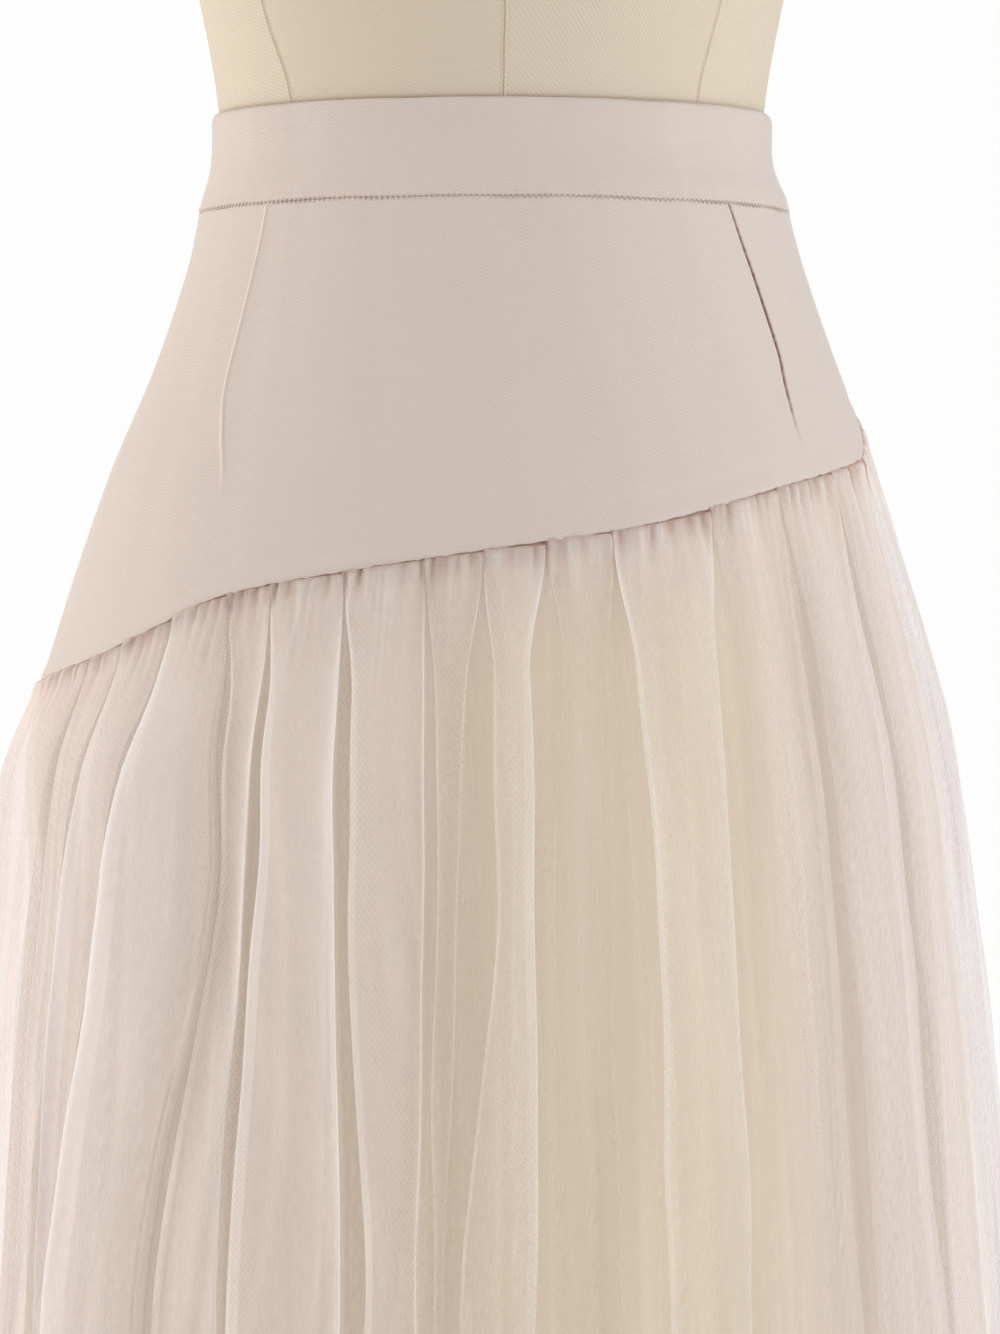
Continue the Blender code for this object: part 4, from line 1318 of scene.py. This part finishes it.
def under_layer(name, node, start, stop, finish, flat):
    """The second net: broad soft waves under the outer one."""
    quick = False
    tops = np.linspace(start, stop, 240 if quick else 460)
    seam = seam_height(tops) - SEAM_GAP
    below = np.linspace(0, 1, 50 if quick else 84)[:, None] ** 1.5 * (seam - UNDER_HEM)
    height = seam - below
    angle = tops + 1.4 * smooth(below / 0.2) * wander(height, 0.45, 2.0) * np.sin(np.radians(tops - start))
    thin, cast = veils(angle, below, metres_per_degree(height), start, stop, 47 if start < 0 else 48, 7.0)
    wave = 0.5 + 0.5 * np.cos(np.radians((angle - 90) * 22) + 0.9 * np.sin(np.radians(angle * 5)))
    fine = 0.5 + 0.5 * wander(angle, 3.6, 9.0)
    calm = 1 - 0.45 * side_zone(angle, 58, 84)
    inward = curve(FOLD_DEPTH, below) + curve(UNDER_GAP, below)
    inward += curve(UNDER_DEPTH, below) * (0.72 * wave ** 0.8 + 0.28 * fine) * calm
    inward += 2.2 * MM * smooth(below / 0.1) + side_inset(angle, below)
    inward += 0.5 * MM * gather_notches(tops + 1.3) * np.exp(-below / 0.02) - 0.4 * MM * thin

    height = rows_over(height, height[0] + 4.2 * MM, height[0] + 2.0 * MM)
    angle = rows_over(angle, angle[0], angle[0])
    inward = rows_over(inward, 3.3 * MM, 3.1 * MM)
    below, thin, cast = (rows_over(grid, 0, 0) for grid in (below, thin, cast))
    gathered = np.exp(-below / 0.02)
    turned = turned_away(angle, below)
    cover = 0.26 + 0.40 * gathered + 0.18 * cast + 0.15 * thin + 0.26 * turned
    cover = np.clip(cover + 0.03 * wander(angle + 3 * np.sin(height * 8), 2.7, 15.0), 0.05, 0.95)
    none = 0 * cover
    # The veils' lines go into net_tint as a painted highlight.
    marks = {"net_cover": (cover, 0.30 * turned, none), "net_tint": (0.6 * thin, gathered, none)}
    hang(name, node, "under_tulle", skin(angle, height, inward), finish, marks)


def lining_layer(name, node, start, stop, flat):
    """The lining: nearly straight, with a few broad soft folds and a narrow turned hem."""
    tops = np.linspace(start, stop, 180)
    hem_line = 0.9748
    share = np.concatenate([np.linspace(0, 0.965, 60) ** 1.3, [0.9745, 0.9752, 0.9756, 0.99, 1.0]])[:, None]
    seam = seam_height(tops) - SEAM_GAP
    below = share * (seam - LINING_HEM)
    height = seam - below
    angle = tops + 0 * below
    inward = 1.1 * MM + sum(curve(table, below) for table in (FOLD_DEPTH, UNDER_GAP, UNDER_DEPTH, LINING_GAP))
    inward += side_inset(angle, below)
    swell = smooth(below / 0.25) * (2.0 * MM + 4.5 * MM * below / 0.6)
    inward += swell * (0.5 + 0.5 * wander(angle + 6 * np.sin(height * 4), 26.0, 11.0))
    inward -= 0.7 * MM * smooth((share - hem_line) / 0.0006)
    height = rows_over(height, height[0] + 4.4 * MM)
    angle = rows_over(angle, angle[0])
    inward = rows_over(inward, 4.4 * MM)
    hang(name, node, "lining", skin(angle, height, inward), satin_finish(), wall=0.5 * MM)


class SKIRT_OT_outer_tulle(bpy.types.Operator):
    """Gathers the outer net, front and back"""

    bl_idname = "skirt.outer_tulle"
    bl_label = "Outer tulle"

    def execute(self, context):
        finish = net_finish("outer_net", tuple(colours().tulle), 0.05)
        for name, node, folds, ends, flat in (
            ("tulle_outer_front_net", "tulle_outer_front", FRONT_FOLDS, FRONT, (1.15, 0.69, 0.74)),
            ("tulle_outer_back_net", "tulle_outer_back", back_folds(), BACK, (1.15, 0.70, 0.76)),
        ):
            tulle_layer(name, node, folds, *ends, finish, flat)
        return {"FINISHED"}


class SKIRT_OT_under_tulle(bpy.types.Operator):
    """Gathers the second net, front and back"""

    bl_idname = "skirt.under_tulle"
    bl_label = "Under tulle"

    def execute(self, context):
        finish = net_finish("under_net", tuple(colours().under), 0.0)
        under_layer("tulle_under_front_net", "tulle_under_front", *FRONT, finish, (0.80, 0.68, 0.47))
        under_layer("tulle_under_back_net", "tulle_under_back", *BACK, finish, (0.80, 0.70, 0.48))
        return {"FINISHED"}


class SKIRT_OT_lining(bpy.types.Operator):
    """Hangs the opaque lining, front and back"""

    bl_idname = "skirt.lining"
    bl_label = "Lining"

    def execute(self, context):
        lining_layer("lining_front_satin", "lining_front", *FRONT, (0.66, 0.64, 0.37))
        lining_layer("lining_back_satin", "lining_back", *BACK, (0.66, 0.66, 0.38))
        return {"FINISHED"}


# Modelling by hand


def start_piece():
    """Leaves edit mode and deselects everything."""
    if bpy.context.object and bpy.context.object.mode != "OBJECT":
        bpy.ops.object.mode_set(mode="OBJECT")
    deselect()


def active_piece(name, finish):
    """Names the primitive just added and gives it its finish."""
    made = bpy.context.object
    made.name = name
    made.data.name = name
    made.data.materials.clear()
    made.data.materials.append(finish)
    return made


def settle(piece):
    """Puts the piece's place into its mesh, so that the object sits at the origin."""
    start_piece()
    activate(piece)
    bpy.ops.object.transform_apply(location=True, rotation=True, scale=True)


def box(name, size, place, finish):
    """A box round a place, its size in millimetres."""
    start_piece()
    bpy.ops.mesh.primitive_cube_add(size=1, location=place)
    made = active_piece(name, finish)
    made.dimensions = [length * MM for length in size]
    settle(made)
    return made


def disc(name, radius, thickness, corners, place, finish):
    """A round plate whose flat sides face the front and back."""
    start_piece()
    bpy.ops.mesh.primitive_cylinder_add(
        vertices=corners, radius=radius, depth=thickness, location=place, rotation=(math.radians(90), 0, 0)
    )
    made = active_piece(name, finish)
    settle(made)
    return made


def bevelled(piece, width, segments):
    """Rounds a piece's sharp edges and shades it smooth."""
    activate(piece)
    made = piece.modifiers.new("Bevel", "BEVEL")
    made.width = width
    made.segments = segments
    made.limit_method = "ANGLE"
    made.angle_limit = math.radians(35)
    bpy.ops.object.modifier_apply(modifier=made.name)
    bpy.ops.object.shade_smooth_by_angle(angle=math.radians(38))


def turned_piece(name, profile, centre, finish, steps=96):
    """A solid spun about the upright axis from a profile of (radius, height) points, top to bottom."""
    start_piece()
    bpy.ops.mesh.primitive_plane_add(size=0.001, location=(0, 0, 0))
    piece = active_piece(name, finish)
    bpy.ops.object.mode_set(mode="EDIT")
    bpy.ops.mesh.select_all(action="SELECT")
    bpy.ops.mesh.merge(type="CENTER")
    radius, height = profile[0]
    bpy.ops.transform.translate(value=(radius, 0, height))
    for before, after in zip(profile, profile[1:]):
        move = (after[0] - before[0], 0, after[1] - before[1])
        bpy.ops.mesh.extrude_region_move(TRANSFORM_OT_translate={"value": move})
    bpy.ops.mesh.select_all(action="SELECT")
    bpy.ops.mesh.spin(steps=steps, angle=math.tau, center=(0, 0, 0), axis=(0, 0, 1))
    bpy.ops.mesh.select_all(action="SELECT")
    bpy.ops.mesh.remove_doubles(threshold=0.000005)
    bpy.ops.mesh.normals_make_consistent(inside=False)
    bpy.ops.object.mode_set(mode="OBJECT")
    piece.location = centre
    settle(piece)
    bpy.ops.object.shade_smooth_by_angle(angle=math.radians(32))
    return piece


# The zip


def slider_face():
    """How far back the slider's outer face lies."""
    return skin(180.0, SLIDER_HEIGHT)[1] + 1.7 * MM


class SKIRT_OT_zip(bpy.types.Operator):
    """Lays the zip's coil and shapes its slider and pull tab"""

    bl_idname = "skirt.zip"
    bl_label = "Zip"

    def execute(self, context):
        finish_piece(zip_coil(), BODY, "zip_nylon", "zip_chain")
        finish_piece(zip_slider(), BODY, "zip_metal", "zip_slider")
        finish_piece(zip_tab(), TAB_BODY, "zip_metal", "zip_pull_tab")
        return {"FINISHED"}


def zip_coil():
    """The closed chain: one tooth is modelled, and its copies alternate from side to side down the back."""
    low = float(seam_height(180.0)) + 4 * MM
    tooth = box("zip_coil_tooth", (1.5, 0.8, 0.5), (0, 0, 0), nylon_finish())
    bevelled(tooth, 0.16 * MM, 1)
    across = np.array([1.15, 0.4, -0.4, -1.15])
    x, tall = np.meshgrid(across * MM, np.linspace(low, BAND_TOP, 60))
    inward = np.where(np.abs(across) > 1, 0.9, 1.1) * MM
    grid = np.stack([x, skin(180.0, tall)[..., 1] - inward, tall], -1)
    tape = cloth("zip_coil", grid, nylon_finish(), wall=0.5 * MM)
    shape = bmesh.new()
    shape.from_mesh(tape.data)
    for k, height in enumerate(np.arange(low + 0.6 * MM, BAND_TOP - 0.8 * MM, 0.62 * MM)):
        side = 1 if k % 2 else -1
        slope = (skin(180.0, height + MM)[1] - skin(180.0, height - MM)[1]) / (2 * MM)
        place = Matrix.Translation((side * 0.32 * MM, skin(180.0, height)[1] - 0.75 * MM, height))
        place = place @ Matrix.Rotation(-math.atan(slope), 4, "X")
        before = len(shape.verts)
        shape.from_mesh(tooth.data)
        shape.verts.ensure_lookup_table()
        bmesh.ops.transform(shape, matrix=place, verts=shape.verts[before:])
    shape.to_mesh(tape.data)
    shape.free()
    bpy.data.objects.remove(tooth)
    return tape


def zip_slider():
    """A waisted slider plate with an arched bridge."""
    face, length = slider_face(), 8.0
    plate = box("zip_slider_body", (5.0, 1.4, length), (0, face - 0.7 * MM, SLIDER_HEIGHT), enamel_finish())
    low = SLIDER_HEIGHT - length / 2 * MM
    bpy.ops.object.mode_set(mode="EDIT")
    for share in (0.28, 0.62, 0.94):
        bpy.ops.mesh.select_all(action="SELECT")
        bpy.ops.mesh.bisect(plane_co=(0, 0, low + share * length * MM), plane_no=(0, 0, 1))
    shape = bmesh.from_edit_mesh(plate.data)
    for share, narrower in ((0, 0.62), (0.28, 0.78), (0.62, 0.96)):
        for vertex in shape.verts:
            if abs(vertex.co.z - low - share * length * MM) < 0.05 * MM:
                vertex.co.x *= narrower
    bmesh.update_edit_mesh(plate.data)
    bpy.ops.object.mode_set(mode="OBJECT")
    bridge = box("bridge", (1.4, 2.4, 2.3), (0, face + 1.2 * MM, SLIDER_HEIGHT), enamel_finish())
    bevelled(bridge, 0.5 * MM, 3)
    bevelled(plate, 0.28 * MM, 2)
    activate(plate)
    bridge.select_set(True)
    bpy.ops.object.join()
    return plate


def zip_tab():
    """The pull tab: a flat drop with a hole low down and a fork round the bridge."""
    middle, radius = slider_face() + 1.55 * MM, 2.7 * MM
    low = SLIDER_HEIGHT - 12.1 * MM
    tab = disc("zip_pull_tab_drop", radius, 1.0 * MM, 40, (0, middle, low), enamel_finish())
    bpy.ops.object.mode_set(mode="EDIT")
    shape = bmesh.from_edit_mesh(tab.data)
    for vertex in shape.verts:
        rise = vertex.co.z - low
        share = rise / radius
        if rise > 0.3 * MM:
            vertex.co.z = low + rise * (1 + 2.72 * share)
        if rise > 0.3 * MM and share < 0.995:
            width = abs(vertex.co.x) / math.sqrt(1 - share * share) / radius
            vertex.co.x = math.copysign(width * (radius - 0.75 * MM * smooth(share * 1.2)), vertex.co.x)
    bmesh.update_edit_mesh(tab.data)
    bpy.ops.object.mode_set(mode="OBJECT")
    bevelled(tab, 0.22 * MM, 2)
    slot = box("fork_slot", (2.2, 4, 3.1), (0, middle, SLIDER_HEIGHT - 0.6 * MM), enamel_finish())
    hole = disc("tab_hole", 1.1 * MM, 4 * MM, 32, (0, middle, SLIDER_HEIGHT - 12.0 * MM), enamel_finish())
    for cutter in (slot, hole):
        activate(tab)
        cut = tab.modifiers.new("Cut", "BOOLEAN")
        cut.operation = "DIFFERENCE"
        cut.solver = "EXACT"
        cut.object = cutter
        bpy.ops.object.modifier_apply(modifier=cut.name)
        bpy.data.objects.remove(cutter)
    return tab


# The dress form and its stand


def form_surface(angle, height, inward):
    """Points on the torso's surface, flat where the arms would be, or that far inside it."""
    width, deep, centre = (curve(table_column(FORM_SECTIONS, FORM_COLUMNS, n), height) for n in FORM_COLUMNS[1:])
    points = ellipse(angle, width, deep, centre, height, inward)
    x, z = points[..., 0], points[..., 2]
    for side in (-1, 1):
        across, up = side * math.cos(ARM_PLATE_LEAN), math.sin(ARM_PLATE_LEAN)
        over = (x - side * ARM_PLATE_X) * across + (z - ARM_PLATE_HEIGHT) * up + inward
        x -= np.clip(over, 0, None) * (z > ARM_PLATE_FOOT) / across
    return points


def form_grid(rows, columns):
    """The torso's rows of points, from the middle of its underside up to the middle of its top."""
    levels = [row[0] for row in FORM_SECTIONS]
    heights = [np.linspace(low, high, rows, endpoint=False) for low, high in zip(levels, levels[1:])]
    at_band = BAND_TOP + np.array([-1.0, 0.4, 0.9, 1.6, 2.4]) * MM
    heights = np.sort(np.concatenate([*heights, levels[-1:], at_band]))
    angle, tall = np.meshgrid(np.linspace(0, 360, columns, endpoint=False), heights)
    points = form_surface(angle, tall, FORM_INSET)
    low, high = points[0].mean(axis=0), points[-1].mean(axis=0)
    shares = (0.0005, 0.5, 0.9, 0.97)
    bottom = [low + (points[0] - low) * share for share in shares]
    top = [high + (points[-1] - high) * share for share in reversed(shares)]
    return np.concatenate([bottom, points, top])


def form_seams():
    """The seams of the form's cover: two pressed lips with a thread line between them."""
    across, inward = np.array(SEAM_RIB).T * MM
    groove = np.exp(-1.2 * (np.arange(len(SEAM_RIB)) - 3) ** 2)
    strips = []
    for line in FORM_SEAMS:
        height = np.linspace(line[0][0], line[-1][0], 110)[:, None]
        middle = curve(line, height) + 0.22 * wander(height, 0.06, line[0][1])
        grid = form_surface(middle + across / FORM_DEGREE, height + 0 * across, inward + FORM_INSET + 0 * height)
        strips.append(cloth("form_seams_linen", grid, linen_finish(), {"seam": groove}, wall=0.4 * MM))
    activate(strips[0])
    for strip in strips:
        strip.select_set(True)
    bpy.ops.object.join()
    return strips[0]


class SKIRT_OT_form(bpy.types.Operator):
    """Shapes the form's linen-covered torso with its seams, and its turned cap"""

    bl_idname = "skirt.form"
    bl_label = "Dress form"

    def execute(self, context):
        grid = form_grid(4, 240)
        height = grid[..., 2]
        turn = (np.linspace(0, 360, grid.shape[1], endpoint=False) + 180) % 360 - 180
        middle, left, right = (curve(seam, height) for seam in FORM_SEAMS[:3])
        # The panel mark is painted shade on the front panels between the princess seams.
        panel = 0.45 * smooth((turn - left) / 0.6) * smooth((middle - turn) / 0.6 + 1)
        panel += 0.22 * smooth((turn - middle) / 0.6) * smooth((right - turn) / 0.6 + 1)
        # Painted shadow: the seam mark here darkens the linen to brown in a line along the waistband's top edge.
        marks = {"panel": panel, "seam": 0.55 * bell(height, BAND_TOP + 0.2 * MM, 1.0 * MM)}
        torso = cloth("form_torso_linen", grid, linen_finish(), marks, loop=True)
        close_ends(torso)
        finish_piece(torso, BODY, "form_linen", "form_torso")
        finish_piece(form_seams(), BODY, "form_linen")
        neck, *_, centre = FORM_SECTIONS[-1]
        cap = turned_piece("form_cap_wood", CAP_PROFILE, (0, centre, neck + SEAM_GAP), wood_finish())
        finish_piece(cap, BODY, "cap_wood", "form_neck_cap")
        return {"FINISHED"}


class SKIRT_OT_stand(bpy.types.Operator):
    """Turns the stand's foot, pole and collar"""

    bl_idname = "skirt.stand"
    bl_label = "Stand"

    def execute(self, context):
        finish = paint_finish()
        foot_top, collar_height = FOOT_PROFILE[0][1], COLLAR_PROFILE[0][1]
        collar_low = FORM_SECTIONS[0][0] - SEAM_GAP - collar_height
        pole_low = foot_top + SEAM_GAP
        top = collar_low - SEAM_GAP - pole_low
        pole = ((0.0, top), (0.0118, top), (0.0125, top - 0.0007), (0.0125, 0.0007), (0.0118, 0.0), (0.0, 0.0))
        for name, node, profile, low, steps in (
            ("stand_foot_plate", "stand_foot", FOOT_PROFILE, 0, 128),
            ("stand_pole_tube", "stand_pole", pole, pole_low, 96),
            ("stand_collar_ring", "stand_collar", COLLAR_PROFILE, collar_low, 96),
        ):
            finish_piece(turned_piece(name, profile, (0, 0, low), finish, steps), BODY, "stand_metal", node)
        return {"FINISHED"}


# The stage


class SKIRT_OT_stage(bpy.types.Operator):
    """Sets the pale floor, the soft lights and the camera"""

    bl_idname = "skirt.stage"
    bl_label = "Floor, lights and camera"

    def execute(self, context):
        scene = context.scene
        self.floor()
        self.world(scene)
        for name, place, size, power, colour in LAMPS:
            data = bpy.data.lights.new(name, "AREA")
            data.shape = "RECTANGLE"
            data.size, data.size_y = size
            data.energy = power
            data.color = colour
            lamp = bpy.data.objects.new(name, data)
            lamp.location = place
            aim = Vector((0, 0, 0.85)) - Vector(place)
            lamp.rotation_euler = aim.to_track_quat("-Z", "Y").to_euler()
            scene.collection.objects.link(lamp)
        self.camera(scene)
        scene.view_settings.view_transform = "Standard"
        scene.view_settings.look = "None"
        scene.cycles.transparent_max_bounces = 8
        scene.cycles.light_sampling_threshold = 0.05
        scene.cycles.max_bounces = 5
        scene.cycles.diffuse_bounces = 2
        return {"FINISHED"}

    def floor(self):
        """A plain pale disc, just under the foot."""
        start_piece()
        bpy.ops.mesh.primitive_circle_add(vertices=128, radius=2.4, fill_type="NGON", location=(0, 0, -0.0005))
        floor = bpy.context.object
        floor.name = "studio_floor"
        shades = Shades("studio_floor", (0.86, 0.86, 0.85), 0.7, Specular_IOR_Level=0.2)
        shades.to("Roughness", shades.between(shades.noise(shades.place(), 0.4), 0.62, 0.78))
        floor.data.materials.append(shades.material)

    def camera(self, scene):
        """A long lens level with the middle of the photo."""
        view = bpy.data.cameras.new("camera")
        view.lens = 154.2
        view.sensor_width = view.sensor_height = 36.0
        view.sensor_fit = "AUTO"
        camera = bpy.data.objects.new("camera", view)
        camera.location = (0.0037, -2.5, 0.8346)
        camera.rotation_euler = (math.radians(90), 0, 0)
        scene.collection.objects.link(camera)
        scene.camera = camera

    def world(self, scene):
        """A white room, a little softer as light than it looks."""
        world = bpy.data.worlds.new("white_room")
        scene.world = world
        world.use_nodes = True
        tree = world.node_tree
        tree.nodes.clear()
        kinds = ("Background", "Background", "LightPath", "MixShader", "OutputWorld")
        seen, lights, path, mix, out = (tree.nodes.new("ShaderNode" + kind) for kind in kinds)
        seen.inputs["Color"].default_value = (0.985, 0.985, 0.98, 1)
        lights.inputs["Color"].default_value = (1.0, 0.99, 0.98, 1)
        lights.inputs["Strength"].default_value = 0.52
        tree.links.new(path.outputs["Is Camera Ray"], mix.inputs[0])
        tree.links.new(lights.outputs[0], mix.inputs[1])
        tree.links.new(seen.outputs[0], mix.inputs[2])
        tree.links.new(mix.outputs[0], out.inputs[0])


class SKIRT_PT_panel(bpy.types.Panel):
    """The skirt's pieces, in the order they are made"""

    bl_label = "Skirt"
    bl_idname = "SKIRT_PT_panel"
    bl_space_type = "VIEW_3D"
    bl_region_type = "UI"
    bl_category = "Skirt"

    def draw(self, context):
        for operator in OPERATORS:
            self.layout.operator(operator.bl_idname)
        for group in (context.scene.skirt_sizes, context.scene.skirt_colours):
            for name in group.__annotations__:
                self.layout.prop(group, name)


OPERATORS = (
    SKIRT_OT_stage,
    SKIRT_OT_waistband,
    SKIRT_OT_yoke,
    SKIRT_OT_outer_tulle,
    SKIRT_OT_under_tulle,
    SKIRT_OT_lining,
    SKIRT_OT_zip,
    SKIRT_OT_form,
    SKIRT_OT_stand,
)
CLASSES = (SkirtSizes, SkirtColours, *OPERATORS, SKIRT_PT_panel)


def register():
    for kind in CLASSES:
        bpy.utils.register_class(kind)
    bpy.types.Scene.skirt_sizes = bpy.props.PointerProperty(type=SkirtSizes)
    bpy.types.Scene.skirt_colours = bpy.props.PointerProperty(type=SkirtColours)


def unregister():
    del bpy.types.Scene.skirt_colours
    del bpy.types.Scene.skirt_sizes
    for kind in reversed(CLASSES):
        bpy.utils.unregister_class(kind)


def main():
    register()
    bpy.ops.skirt.stage()
    bpy.ops.skirt.waistband()
    bpy.ops.skirt.yoke()
    bpy.ops.skirt.outer_tulle()
    bpy.ops.skirt.under_tulle()
    bpy.ops.skirt.lining()
    bpy.ops.skirt.zip()
    bpy.ops.skirt.form()
    bpy.ops.skirt.stand()


if __name__ == "__main__":
    main()
